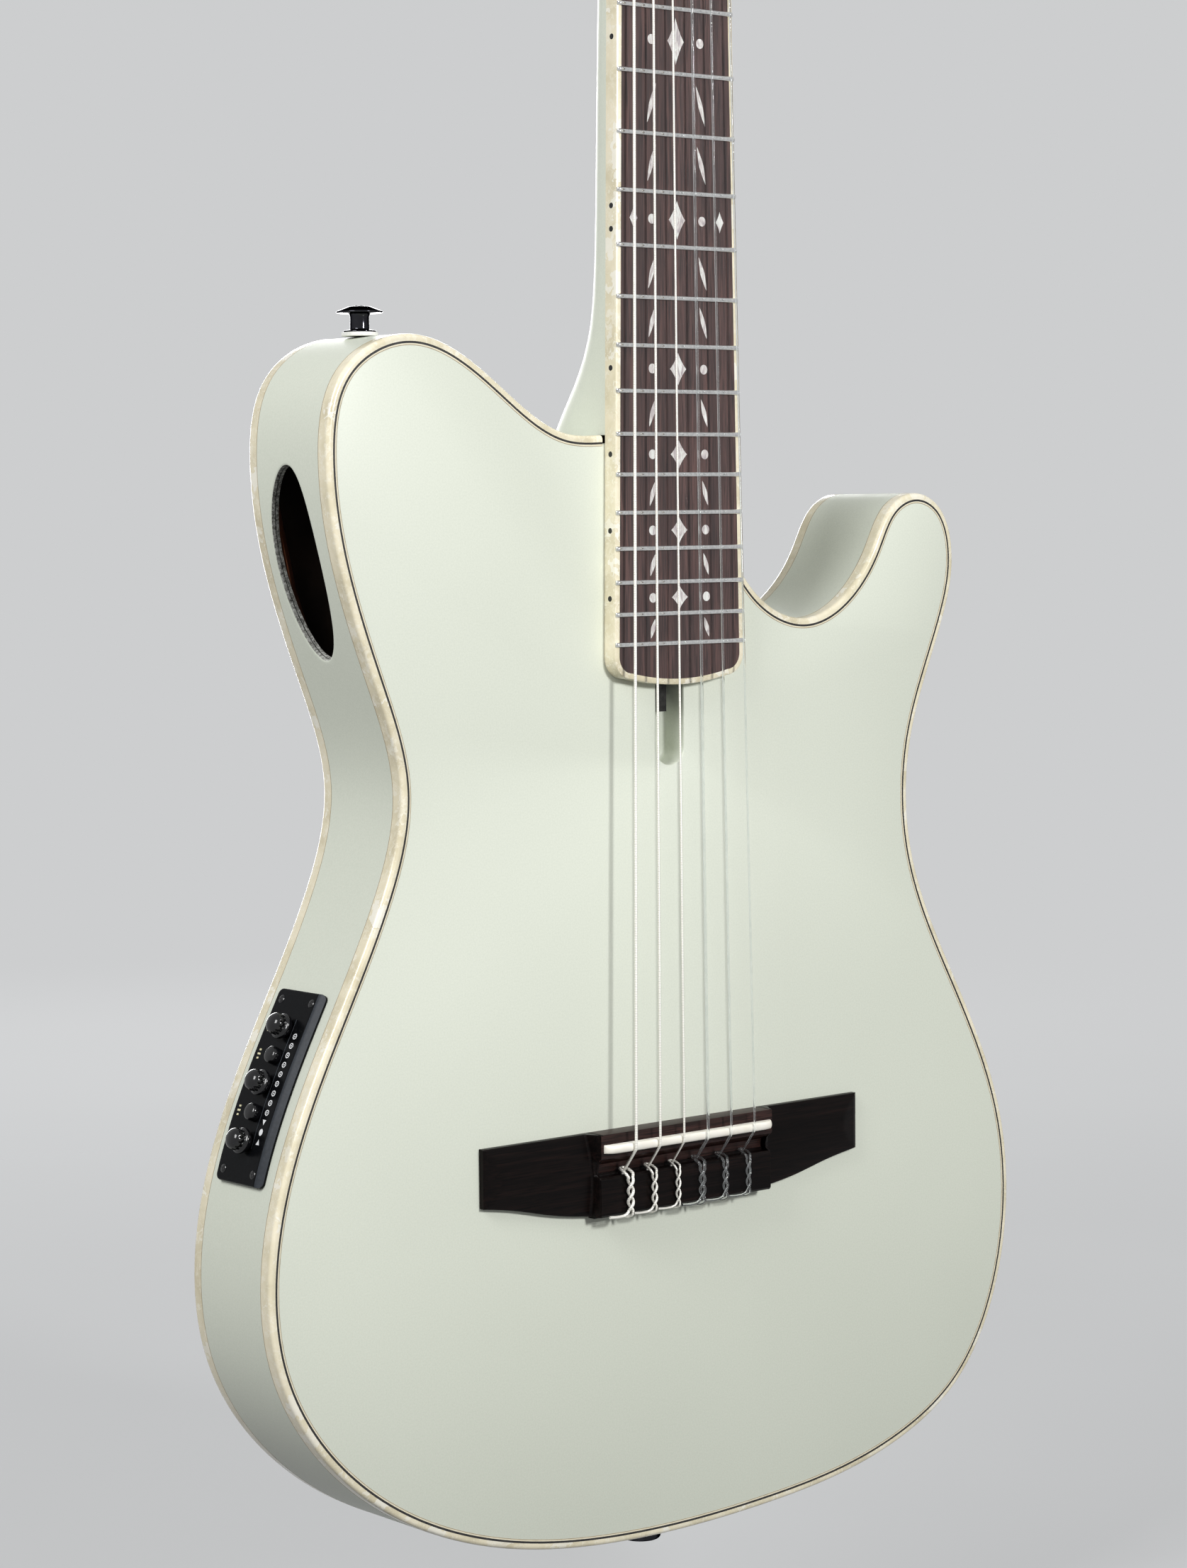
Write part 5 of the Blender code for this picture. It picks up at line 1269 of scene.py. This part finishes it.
def screw_parts(matrix, radius, height):
    """A domed screw head with a cross in it, as two thin dark bars: painted shade in the cross's
    slot.
    """
    dome = turned([(radius, -height), (radius, 0.2 * height), (0.86 * radius, 0.62 * height),
                   (0.5 * radius, 0.92 * height), (0, height)], 20, matrix)
    parts = [sheet(dome, around=True)]
    for halves in ((0.62, 0.15), (0.15, 0.62)):
        corners = SQUARE * halves * radius
        rings = [np.insert(corners, 2, level, axis=1) for level in (0.6 * height, 1.02 * height)]
        parts.append(capped(placed(np.array(rings), matrix), finish=1))
    return parts


def panel_mark(outline):
    """A printed mark on the panel: an outline of (run, depth) points as a very thin plate."""
    run, depth = outline.T
    return capped(np.array([along_rim(run, PANEL_PROUD + level, depth)
                            for level in (-0.05 * MM, 0.025 * MM)]))


def ring_mark(run, depth, outer, inner):
    """A printed ring: a round band with an open middle."""
    angle = full_turn(24)
    profile = [(outer, -0.05), (outer, 0.025), (inner, 0.025), (inner, -0.05)]
    return sheet(np.array([along_rim(run + r * np.cos(angle), PANEL_PROUD + level * MM,
                                     depth + r * np.sin(angle)) for r, level in profile]),
                 around=True, along=True)


screws = []
for run in (PREAMP_RUN - PREAMP_LENGTH / 2 + 4 * MM, PREAMP_RUN + PREAMP_LENGTH / 2 - 4 * MM):
    for depth in (PREAMP_FRONT + 5.2 * MM, PREAMP_BACK - 3.6 * MM):
        seat = side_matrix(run, depth) @ Matrix.Translation((0, 0, PANEL_PROUD))
        screws += screw_parts(seat @ Matrix.Rotation(run * 900, 4, "Z"), 1.5 * MM, 0.45 * MM)
piece("panel_screws", screws, [KNOB_BLACK, BLACK_LINE_AND_SLOT_SHADE], "black_plastic")

# %% [markdown]
# The panel's signs are plain: a row of rings with a dot in them, two triangles and an oval at its
# end, a fine raised line beside them, and cream ticks beside each control, as on a dial. Each is a
# real thin plate that follows the bent panel.
# %% Printed signs
SIGN_DEPTH, TICK_DEPTH = 16.6 * MM, PREAMP_BACK - 3.0 * MM
SIGN_RUNS = PREAMP_RUN + np.linspace(-18.1, 19.4, 12) * MM
marks = [ring_mark(run, SIGN_DEPTH, 1.05 * MM, 0.68 * MM) for run in SIGN_RUNS[:9]]
triangle = np.array([(-0.95, -0.95), (-0.95, 0.95), (0.95, 0)]) * MM
marks.append(panel_mark(triangle + (SIGN_RUNS[9], SIGN_DEPTH)))
marks.append(panel_mark(star_shape(SIGN_RUNS[10], SIGN_DEPTH, 1.2 * MM, 0.95 * MM, 2)))
marks.append(panel_mark(triangle * (-1, 1) + (SIGN_RUNS[11], SIGN_DEPTH)))
marks += [panel_mark(star_shape(run, SIGN_DEPTH, 0.3 * MM, 0.3 * MM, 2, 12))
          for run in SIGN_RUNS[:9]]
piece("panel_marks", marks, SIGN_WHITE, "white_washer")
ticks = []
for step in range(5):
    for place in (-1.5, 0, 1.5):
        middle = PREAMP_RUN + (step - 2) * CONTROL_STEP + place * MM
        corners = SQUARE * (0.32, 0.55 if place else 0.85) * MM
        ticks.append(panel_mark(corners + (middle, TICK_DEPTH)))
piece("panel_ticks", ticks, SIGN_CREAM, "white_washer")
# The raised line shares the grey of the bevel's painted sheen.
line_run = PREAMP_RUN + np.linspace(-24, 22, 30) * MM
rail = [(19.05, -0.05), (19.1, 0.14), (19.3, 0.14), (19.35, -0.05)]
rings = np.stack([along_rim(line_run, PANEL_PROUD + level * MM, depth * MM)
                  for depth, level in rail], 1)
piece("panel_line", [capped(rings)], SHEEN_AND_LINE_GREY, "black_plastic")

# %% [markdown]
# Knobs and buttons are turned shapes. The knob has a smooth skirt and, above it, a cap with twelve
# flutes for the fingers: its radius dips between twelve ridges, where the cosine of six times the
# angle is near nought. The flutes fade in just above the skirt and out where the polished dome
# begins. Each control rides on its own body, so it turns or sinks when that body moves.
# %% Knobs and push buttons
SKIRT_TOP, DOME_FOOT = 5.8, 8.7
FLUTE_DEPTH = 0.45 * MM


def fluted(radius, height, angle):
    """The cap's flutes: twelve scallops round its wall, which fade out where the dome begins."""
    fade = np.clip(height / MM - SKIRT_TOP, 0, 1) * np.clip(DOME_FOOT - height / MM, 0, 1)
    dip = 1 - np.abs(np.cos(6 * angle)) ** 0.8
    return radius - FLUTE_DEPTH * fade * dip


knob_profile = rounded([(1.9, -0.6), (1.9, 2.4), (3.3, 2.5), (3.3, 4.0), (4.5, 4.1), (4.5, 5.5),
                        (3.7, 5.85), (3.75, 6.8), (3.85, 7.4), (3.7, 8.2), (3.3, 8.95),
                        (2.6, 9.55), (1.7, 9.92), (0.8, 10.07), (0, 10.1)], 0.5, 4) * MM
button_profile = rounded([(2.2, -0.6), (2.2, 2.3), (3.05, 2.35), (3.05, 4.5), (2.95, 5.1),
                          (2.4, 5.6), (1.4, 5.85), (0, 5.9)], 0.5) * MM
for rank, name in enumerate(["knob_upper", "button_upper", "knob_middle", "button_lower",
                             "knob_lower"]):
    seat = side_matrix(PREAMP_RUN + (rank - 2) * CONTROL_STEP, CONTROL_DEPTH)
    if name.startswith("knob"):
        shape = turned(knob_profile, 144, seat, fluted)
    else:
        shape = turned(button_profile, 40, seat)
    piece(f"{name}_cap", [capped(shape)], KNOB_BLACK, "black_plastic", body=name,
          stands_for=[name], smooth=40)

# %% [markdown]
# ## Strap button and jack
# The strap button is a mushroom of dark chrome on a pale felt washer, the jack at the tail a hollow
# sleeve that is an end pin as well. The chrome's dark colour is a painted dark reflection.
# Both are profiles turned about their axis, with the corners of the profile rounded first, because
# a polished edge always catches a line of light.
# %% Strap hardware
shoulder = Matrix.Translation((-118.5 * MM, BODY_DEPTH / 2, SADDLE_Z + 284.4 * MM))
button = rounded([(0, 0.4), (1.8, 0.4), (1.8, 1.4), (5.6, 1.4), (5.6, 1.9), (3.3, 2.3), (3.2, 6.6),
                  (3.6, 7.7), (7.7, 7.85), (7.95, 8.15), (7.8, 8.45), (4.4, 9.75), (3.7, 10.0),
                  (0, 10.05)], 0.45) * MM
piece("strap_pin", [sheet(turned(button, 56, shoulder), around=True)]
      + screw_parts(shoulder @ Matrix.Translation((0, 0, 10.0 * MM)), 2.2 * MM, 0.3 * MM),
      [CHROME_DARK_REFLECTION, BLACK_LINE_AND_SLOT_SHADE], "chrome", stands_for=["strap_button"])
felt = rounded([(2.2, 0.85), (2.2, 0.05), (6.2, 0.05), (6.2, 1.4), (2.2, 1.4), (2.2, 0.85)],
               0.3) * MM
piece("felt_washer", [sheet(turned(felt, 48, shoulder), around=True)], WASHER_WHITE,
      "white_washer", stands_for=["strap_washer"], smooth=50)
tail = Matrix.Translation((TAIL_PLACE[0], BODY_DEPTH / 2, TAIL_PLACE[1]))
sleeve = rounded([(3.3, 10), (3.3, -7.3), (3.6, -7.6), (7.0, -7.6), (7.6, -7.0), (7.6, -5.4),
                  (5.3, -4.6), (5.2, -2.5), (7.9, -2.0), (8.2, -1.6), (8.2, -0.6), (5.7, -0.6),
                  (5.7, 30), (3.3, 30), (3.3, 10)], 0.4) * MM
piece("jack_sleeve", [sheet(turned(sleeve, 56, tail), around=True)], CHROME_DARK_REFLECTION, "chrome",
      stands_for=["end_pin_jack"])

# %% [markdown]
# ## Machine heads
# A worm on the button's shaft turns a wheel of fourteen teeth on the roller's axle. Fourteen turns
# of the button wind the string once round. The wheel's edge is a circle whose radius swings with
# the cosine of fourteen times the angle, squared off, and twisted to the worm's lead. The worm is
# a shaft whose radius rises in a ridge that climbs one pitch for each turn.
# %% Rollers, wheels and worms
ROLLER_V = 9.5 * MM
FIRST_ROLLER_U = 50 * MM
ROLLER_PITCH = 35 * MM
DRIVE_X = 39.6 * MM
WORM_PITCH = 2.2 * MM
WORM_RADIUS = 2.0 * MM
TEETH = 14
WHEEL_RADIUS = TEETH * WORM_PITCH / (2 * math.pi)
HEAD = Matrix.Translation((0, 0, HEAD_FOOT_Z)) @ Matrix.Rotation(-HEAD_TILT, 4, "X")
ALONG_X = Matrix.Rotation(math.pi / 2, 4, "Y")
BARREL = rounded([(2.2, 8.9), (4.9, 8.9), (5, 9.0), (5, 24.0), (4.9, 24.1), (2.2, 24.1)], 0.5)
AXLE = np.array([(2.2, 3.4), (2.2, 39.6)])
FERRULE = rounded([(1.2, 12.6), (2.1, 12.6), (2.5, 13.4), (2.5, 14.7), (1.2, 14.9)], 0.3) * MM


def wheel_parts(side, axle):
    """A worm wheel: rings of a toothed edge, each twisted by its place across the wheel."""
    angle = full_turn(TEETH * 14)[None]
    offset = np.array([-1.5, -1.5, -1.2, 0, 1.2, 1.5, 1.5])[:, None] * MM
    size = np.array([0.6, 0.9, 1, 1, 1, 0.9, 0.6])[:, None]
    tooth = np.tanh(2.2 * np.cos(TEETH * angle - offset / WORM_RADIUS - math.pi))
    radius = (WHEEL_RADIUS - 0.18 * MM + 0.66 * MM * tooth) * size
    points = np.stack([side * DRIVE_X + offset * np.ones_like(angle), -radius * np.sin(angle),
                       radius * np.cos(angle)], -1)
    return capped(placed(points, axle), finish=2)


def worm_part(drive):
    """The worm on its shaft. The ridge is highest where the angle, as a share of a turn, equals
    the way along in pitches, and it fades out at both ends."""
    along = np.concatenate([[-8.9, -8.7, -3.2], np.linspace(-2.9, 2.9, 59), [3.2, 14.4, 14.6]])
    along = along[:, None] * MM
    angle = full_turn(40)[None]
    phase = along / WORM_PITCH - (angle - math.pi) / (2 * math.pi)
    away = np.abs(phase - np.round(phase)) * WORM_PITCH
    ridge = np.clip((0.6 * MM - away) / (0.43 * MM), 0, 1)
    fade = np.clip((2.85 * MM - np.abs(along)) / (0.7 * MM), 0, 1)
    radius = np.maximum(1.2 * MM, 0.95 * MM + 1.65 * MM * ridge * fade)
    radius[[0, -1]] *= 0.8
    points = np.stack([radius * np.sin(angle), along * np.ones_like(angle),
                       radius * np.cos(angle)], -1)
    return capped(placed(points, drive))


print(f"wheel {2 * WHEEL_RADIUS / MM:.1f} mm wide, {TEETH} turns of a button for one of its roller")

# %% [markdown]
# The buttons are cast in pearloid: an oval that swells and closes along the shaft, which is one
# more batten through a few chosen sections. All six machine heads then come from one loop, because
# only the side and the place along the head differ.
# %% Buttons and the six machine heads
def tuner_button_part(drive):
    """An oval button: rings of width and thickness that swell and close along the shaft."""
    stations = batten([(14.7, 2.6, 2.2), (16.2, 3.6, 2.9), (19, 6.6, 3.2), (24, 8.3, 3.3),
                       (29, 7.2, 3.1), (31.4, 4.6, 2.4), (32.3, 2.0, 1.3)], 26) * MM
    angle = full_turn(40)[None]
    depth, wide, thin = (stations[:, k:k + 1] * np.ones_like(angle) for k in range(3))
    shape = np.stack([thin * np.sin(angle), depth, wide * np.cos(angle)], -1)
    return capped(placed(shape, drive))


for side, side_name in ((-1, "bass"), (1, "treble")):
    softened(f"side_plate_{side_name}", f"tuner_plate_{side_name}", 0.25 * MM, NICKEL, "nickel")
    screws = []
    for u in (41.3, 67.5, 102.5, 132.5):
        seat = HEAD @ Matrix.Translation((side * 36.4 * MM, ROLLER_V, u * MM))
        seat = seat @ Matrix.Rotation(side * math.pi / 2, 4, "Y") @ Matrix.Rotation(u, 4, "Z")
        screws += screw_parts(seat, 1.9 * MM, 0.8 * MM)
    piece(f"plate_screws_{side_name}", screws, [NICKEL, BLACK_LINE_AND_SLOT_SHADE], "nickel")
    for rank in range(3):
        name = f"{side_name}_{rank + 1}"
        up = FIRST_ROLLER_U + rank * ROLLER_PITCH
        axle = HEAD @ Matrix.Translation((0, ROLLER_V, up))
        drive = HEAD @ Matrix.Translation((side * DRIVE_X, ROLLER_V,
                                           up + WHEEL_RADIUS + WORM_RADIUS))
        parts = [capped(turned(BARREL * (1, side) * MM, 40, axle @ ALONG_X)),
                 capped(turned(AXLE * (1, side) * MM, 28, axle @ ALONG_X), finish=1),
                 wheel_parts(side, axle)]
        end = axle @ Matrix.Translation((side * 41.1 * MM, 0, 0))
        end = end @ Matrix.Rotation(side * math.pi / 2, 4, "Y")
        # The end screw's cross is in darker steel: painted shade in its slot.
        parts += [(p, f, 1 if k else 3) for p, f, k in screw_parts(end, 2.3 * MM, 0.8 * MM)]
        piece(f"string_roller_{name}", parts, [BONE, STEEL, BRASS, NICKEL], "bone",
              body=f"roller_{name}", stands_for=[f"roller_{name}"])
        collar = capped(turned(FERRULE, 32, drive @ Matrix.Rotation(-math.pi / 2, 4, "X")))
        piece(f"worm_shaft_{name}", [worm_part(drive), collar], NICKEL, "nickel",
              body=f"worm_{name}", stands_for=[f"worm_{name}"], smooth=40)
        piece(f"pearl_button_{name}", [tuner_button_part(drive)], PEARLOID, "pearloid",
              body=f"worm_{name}", stands_for=[f"tuner_button_{name}"], smooth=50)

# %% [markdown]
# ## Strings
# Each string is one smooth tube: a free end, a twisted tie on the bridge, over the saddle and the
# nut, and a few turns round its roller. Its line is a chain of points with every corner bent on a
# small curve. The tie is worked out from the string's own thickness, so that its twisted strands
# lie clear of each other.
# %% Routes
STRINGS = [("string_6_e", 1.10), ("string_5_a", 0.90), ("string_4_d", 0.76),
           ("string_3_g", 1.02), ("string_2_b", 0.82), ("string_1_e", 0.72)]
SADDLE_STEP, NUT_STEP = 11.5, 7.5
TIE_TOP, TIE_FRONT, TIE_BACK = -7.6 * MM, SADDLE_Z - 10.4 * MM, SADDLE_Z - 24.8 * MM
GAP = 0.3 * MM


def tie_route(x, radius):
    """The tie: out of the free end, twisted over the block, round the string and back through."""
    twist = 1.2 * radius + 0.26 * MM
    height = TIE_TOP - GAP - radius - twist
    front, back = TIE_FRONT - 0.9 * MM, TIE_BACK + 1.6 * MM
    share = np.linspace(0, 1, 37)

    def strand(phase):
        """One of the two strands that twist round each other, one and a half turns."""
        angle = phase + 3 * math.pi * share
        return np.stack([x + twist * np.cos(angle), height + twist * np.sin(angle),
                         back + (front - back) * share], -1)

    wide, low, hook_z = 2 * radius + 0.5 * MM, -3.7 * MM - radius, TIE_FRONT + 0.45 * MM + radius
    side = np.array([(wide, height + 0.4 * MM, hook_z - radius),
                     (wide, -6.4 * MM, hook_z + 0.6 * MM),
                     (0.72 * wide, low - 0.5 * MM, hook_z + MM)])
    hook = np.vstack([side + (x, 0, 0), [(x, low, hook_z + 1.1 * MM)],
                      side[::-1] * (-1, 1, 1) + (x, 0, 0)])
    behind = TIE_BACK - 0.4 * MM - radius
    free = [(x - 9.4 * MM, height + 0.5 * MM, behind + 1.1 * MM),
            (x - 6.0 * MM, height + 0.4 * MM, behind + 0.8 * MM),
            (x - 3.0 * MM, height + 0.2 * MM, behind + 0.9 * MM),
            (x - twist - 0.7 * MM, height, back - 0.9 * MM)]
    wrap = [(x + 0.9 * twist, height, behind + 1.0 * MM),
            (x + 0.5 * twist, height + 1.6 * MM, behind + 0.1 * MM), (x, -6.2 * MM, behind),
            (x, -5.3 * MM, behind + 0.15 * MM), (x, -5.0 * MM, behind + 0.8 * MM),
            (x, -5.0 * MM, TIE_FRONT + 0.3 * MM)]
    return np.vstack([free, strand(math.pi), hook, strand(0)[::-1], wrap])


def coil_route(index, radius):
    """Down from the nut to the roller and round it, drifting aside by one pitch a turn."""
    side, rank = (-1, index) if index < 3 else (1, 5 - index)
    up = FIRST_ROLLER_U + rank * ROLLER_PITCH
    around = 5.35 * MM + radius
    nut_v = (-7.1 * MM - radius) * math.cos(HEAD_TILT)
    first = (math.atan2(ROLLER_V - nut_v, up)
             - math.asin(around / math.hypot(up, ROLLER_V - nut_v)))
    turns = np.linspace(0, 1.5, 73)
    angle = first + 2 * math.pi * turns
    start = (20.5, 17.5, 14.5)[rank] * MM
    return head_place(side * (start - (2 * radius + 0.45 * MM) * turns),
                      ROLLER_V - around * np.cos(angle), up + around * np.sin(angle))


print("strings spread", 5 * SADDLE_STEP, "mm at the saddle and", 5 * NUT_STEP, "mm at the nut")

# %% [markdown]
# A tube needs a ring at every point of its line. If each ring were turned on its own, the skin
# would twist between them. So the ring's first direction is handed from station to station, each
# time made square to the line again. A curve object with a bevel does much the same. Rings in an
# array are one formula for the whole tube, as for all the other pieces.
# %% Tubes
RING_POINTS = 12


def tube(route, radius):
    """Rings square to a line of points, their first direction handed on from each to the next."""
    ahead = np.gradient(route, axis=0)
    ahead /= np.linalg.norm(ahead, axis=1, keepdims=True)
    first = np.empty_like(route)
    hand = np.cross(ahead[0], (0.3, 0.9, 0.2))
    for k, direction in enumerate(ahead):
        hand = hand - direction * (hand @ direction)
        hand = first[k] = hand / np.linalg.norm(hand)
    second = np.cross(ahead, first)
    angle = full_turn(RING_POINTS)[None, :, None]
    return route[:, None] + radius * (np.cos(angle) * first[:, None]
                                      + np.sin(angle) * second[:, None])


print("points in a string's ring:", RING_POINTS)

# %% [markdown]
# The three basses are silk wound with silver-plated wire, the three trebles plain clear nylon. The
# winding is far too fine for geometry on the whole length, so a wave that repeats along the
# string bumps the finish, and also colours it: a painted highlight on each turn's crest and
# painted shade between the turns.
# %% Six strings
def make_winding():
    """Silver wire: fine bands across the string, sunk between, with a painted highlight on the
    crests and painted shade between them.
    """
    finish, shader, place = new_finish("silver_winding", roughness=0.3, metallic=0.25)
    turns = add_node(finish, "ShaderNodeTexWave", {"Vector": place, "Scale": 520.0,
                     "Distortion": 0.4}, wave_type="BANDS", bands_direction="Z").outputs["Fac"]
    bumped(finish, shader, turns, 0.5, 0.0001)
    # The ramp paints the crests pale and the grooves darker: painted highlight and painted shade.
    return coloured(finish, shader, ramp(finish, turns, [(0.0, tone(206, 203, 194)),
                                                         (0.6, tone(250, 248, 240))]))


SILVER_WINDING = make_winding()
for index, (name, diameter) in enumerate(STRINGS):
    radius = diameter / 2 * MM
    saddle_x, nut_x = (index - 2.5) * SADDLE_STEP * MM, (index - 2.5) * NUT_STEP * MM
    over_saddle, over_nut = -12.05 * MM - radius, -7.4 * MM - radius
    middle = [(saddle_x, over_saddle, SADDLE_Z - 0.6 * MM),
              (saddle_x, over_saddle, SADDLE_Z + 0.5 * MM),
              (nut_x, over_nut, 0), (nut_x, over_nut, 5 * MM)]
    chain = np.vstack([tie_route(saddle_x, radius), middle, coil_route(index, radius)])
    smooth_line = rounded(chain, 1.0 * MM, 3)
    steps = np.linalg.norm(np.diff(smooth_line, axis=0), axis=1)
    smooth_line = smooth_line[np.concatenate([[True], steps > 1e-5])]
    finish, slot = ((SILVER_WINDING, "wound_string") if index < 3
                    else (CLEAR_NYLON, "nylon_string"))
    piece(f"{name}_tube", [capped(tube(smooth_line, radius))], finish, slot, stands_for=[name],
          smooth=60)
    print(name, f"{lengths(smooth_line)[-1]:.3f} m long, {diameter} mm thick")

# %% [markdown]
# ## What stays as it is
# The blocks, linings, braces, rod, battery and housing inside the body have the right shape as
# solids. They only take a finish, chosen by what each is made of.
# %% Inner parts
INNER = {MAHOGANY: ["top_lining", "back_lining", "neck_block", "tail_block"],
         SPRUCE: ["fan_bracing", "upper_cross_brace", "back_brace"],
         STEEL: ["truss_rod"], BLACK_STEEL: ["truss_rod_nut"], PIEZO_GREY: ["pickup_strip"],
         CASE_BLACK: ["preamp_box", "battery_clip"], BATTERY_SKIN: ["battery"]}
for finish, names in INNER.items():
    for name in names:
        frame["nodes"][name].material_slots[0].material = finish
print("inner parts:", sum(len(names) for names in INNER.values()))

# %% [markdown]
# ## Light, floor and the finish
# The floor is a wide pale disc. It has no edge in any view, because it turns clear with the
# distance from its middle, and the plain pale grey of the world shows instead. A plain sheet of
# paper would end in a hard line somewhere, and its bounce would wash out the guitar's underside.
# %% Floor
FLOOR_Z, FLOOR_RADIUS = -0.86, 2.7
FADE_START, FADE_END = 0.7, 2.6
BACKDROP = tone(205, 206, 207)
FLOOR_GLOW, SOFT_LIGHT = 0.55, 0.22


def counted(owner, operation, first, second):
    """The result of a sum done by a node."""
    return add_node(owner, "ShaderNodeMath", {0: first, 1: second}, operation=operation).outputs[0]


def looked_at(owner):
    """One for the rays that show the backdrop: those of the camera, of mirrors and of glass."""
    path = add_node(owner, "ShaderNodeLightPath")
    total = path.outputs["Is Camera Ray"]
    for kind in ("Is Glossy Ray", "Is Transmission Ray"):
        total = counted(owner, "MAXIMUM", total, path.outputs[kind])
    return total


def make_stage():
    """A disc of paper that fades to clear with the distance from its middle.

    Part of its tone is a glow that only the eye sees. To the light that would bounce off it onto
    the guitar it is dark, and from below it is clear.
    """
    finish, shader, place = new_finish("studio_paper", roughness=0.9, Specular_IOR_Level=0.0,
                                       Emission_Color=BACKDROP)
    eye = looked_at(finish)
    glow = counted(finish, "MULTIPLY", eye, FLOOR_GLOW)
    finish.node_tree.links.new(glow, shader.inputs["Emission Strength"])
    speck = noise(finish, place, 3.0)
    paper = ramp(finish, speck, [(0.3, tone(133, 134, 135)), (0.7, tone(137, 138, 139))])
    coloured(finish, shader, mixed(finish, eye, tone(96, 96, 96), paper))
    away = add_node(finish, "ShaderNodeVectorMath", {0: place}, operation="LENGTH").outputs["Value"]
    fade = add_node(finish, "ShaderNodeMapRange", {"Value": away, "From Min": FADE_START,
                    "From Max": FADE_END}, interpolation_type="SMOOTHSTEP").outputs["Result"]
    clear = add_node(finish, "ShaderNodeBsdfTransparent").outputs[0]
    below = add_node(finish, "ShaderNodeNewGeometry").outputs["Backfacing"]
    share = counted(finish, "MAXIMUM", fade, below)
    blend = add_node(finish, "ShaderNodeMixShader", {0: share, 1: shader.outputs[0], 2: clear})
    output = finish.node_tree.nodes["Material Output"]
    finish.node_tree.links.new(blend.outputs[0], output.inputs["Surface"])
    angle = np.linspace(2 * math.pi, 0, 97)[None]
    radius = np.linspace(0.01, FLOOR_RADIUS, 12)[:, None]
    grid = np.stack([radius * np.cos(angle), radius * np.sin(angle),
                     np.full_like(radius * angle, FLOOR_Z)], -1)
    points, faces, _ = sheet(grid)
    mesh = bpy.data.meshes.new("studio_floor")
    mesh.from_pydata(points.tolist(), [], faces)
    mesh.materials.append(finish)
    floor = add_object("studio_floor", mesh)


make_stage()
print("floor", FLOOR_Z, "m up, radius", FLOOR_RADIUS, "m")

# %% [markdown]
# The photograph has one rather small lamp in front, a little above the guitar, whose shadows are
# crisp but not hard, and light from the upper left that falls on the side. A lamp behind keeps the
# back readable. The grey of the world is what the camera, mirrors and glass see. The soft light
# that the world gives is set apart, so that one can be changed without the other.
# %% World and lamps
def make_world():
    """Two backgrounds: the backdrop for what looks straight at it, and the soft light."""
    world = bpy.data.worlds.new("soft_world")
    bpy.context.scene.world = world
    world.use_nodes = True
    light = world.node_tree.nodes["Background"]
    light.inputs["Color"].default_value = WHITE
    light.inputs["Strength"].default_value = SOFT_LIGHT
    seen = add_node(world, "ShaderNodeBackground", {"Color": BACKDROP})
    blend = add_node(world, "ShaderNodeMixShader", {0: looked_at(world), 1: light.outputs[0],
                                                   2: seen.outputs[0]})
    output = world.node_tree.nodes["World Output"]
    world.node_tree.links.new(blend.outputs[0], output.inputs["Surface"])


def area_lamp(name, place, target_z, size, power):
    """A square lamp that looks at a height on the guitar's middle line."""
    data = bpy.data.lights.new(name, "AREA")
    data.shape, data.size, data.energy = "SQUARE", size, power
    aim = Vector((0, 0, target_z)) - Vector(place)
    add_object(name, data).matrix_world = (Matrix.Translation(place)
                                           @ aim.to_track_quat("-Z", "Y").to_matrix().to_4x4())


make_world()
area_lamp("key", (0.12, -1.3, -0.05), -0.55, 0.22, 14.5)
area_lamp("left_fill", (-1.8, -0.35, 0.75), -0.5, 0.9, 35)
area_lamp("back_fill", (1.3, 2.4, -0.1), -0.4, 1.4, 60)
bpy.context.scene.view_settings.view_transform = "Standard"
print("lamps:", len(bpy.data.lights))
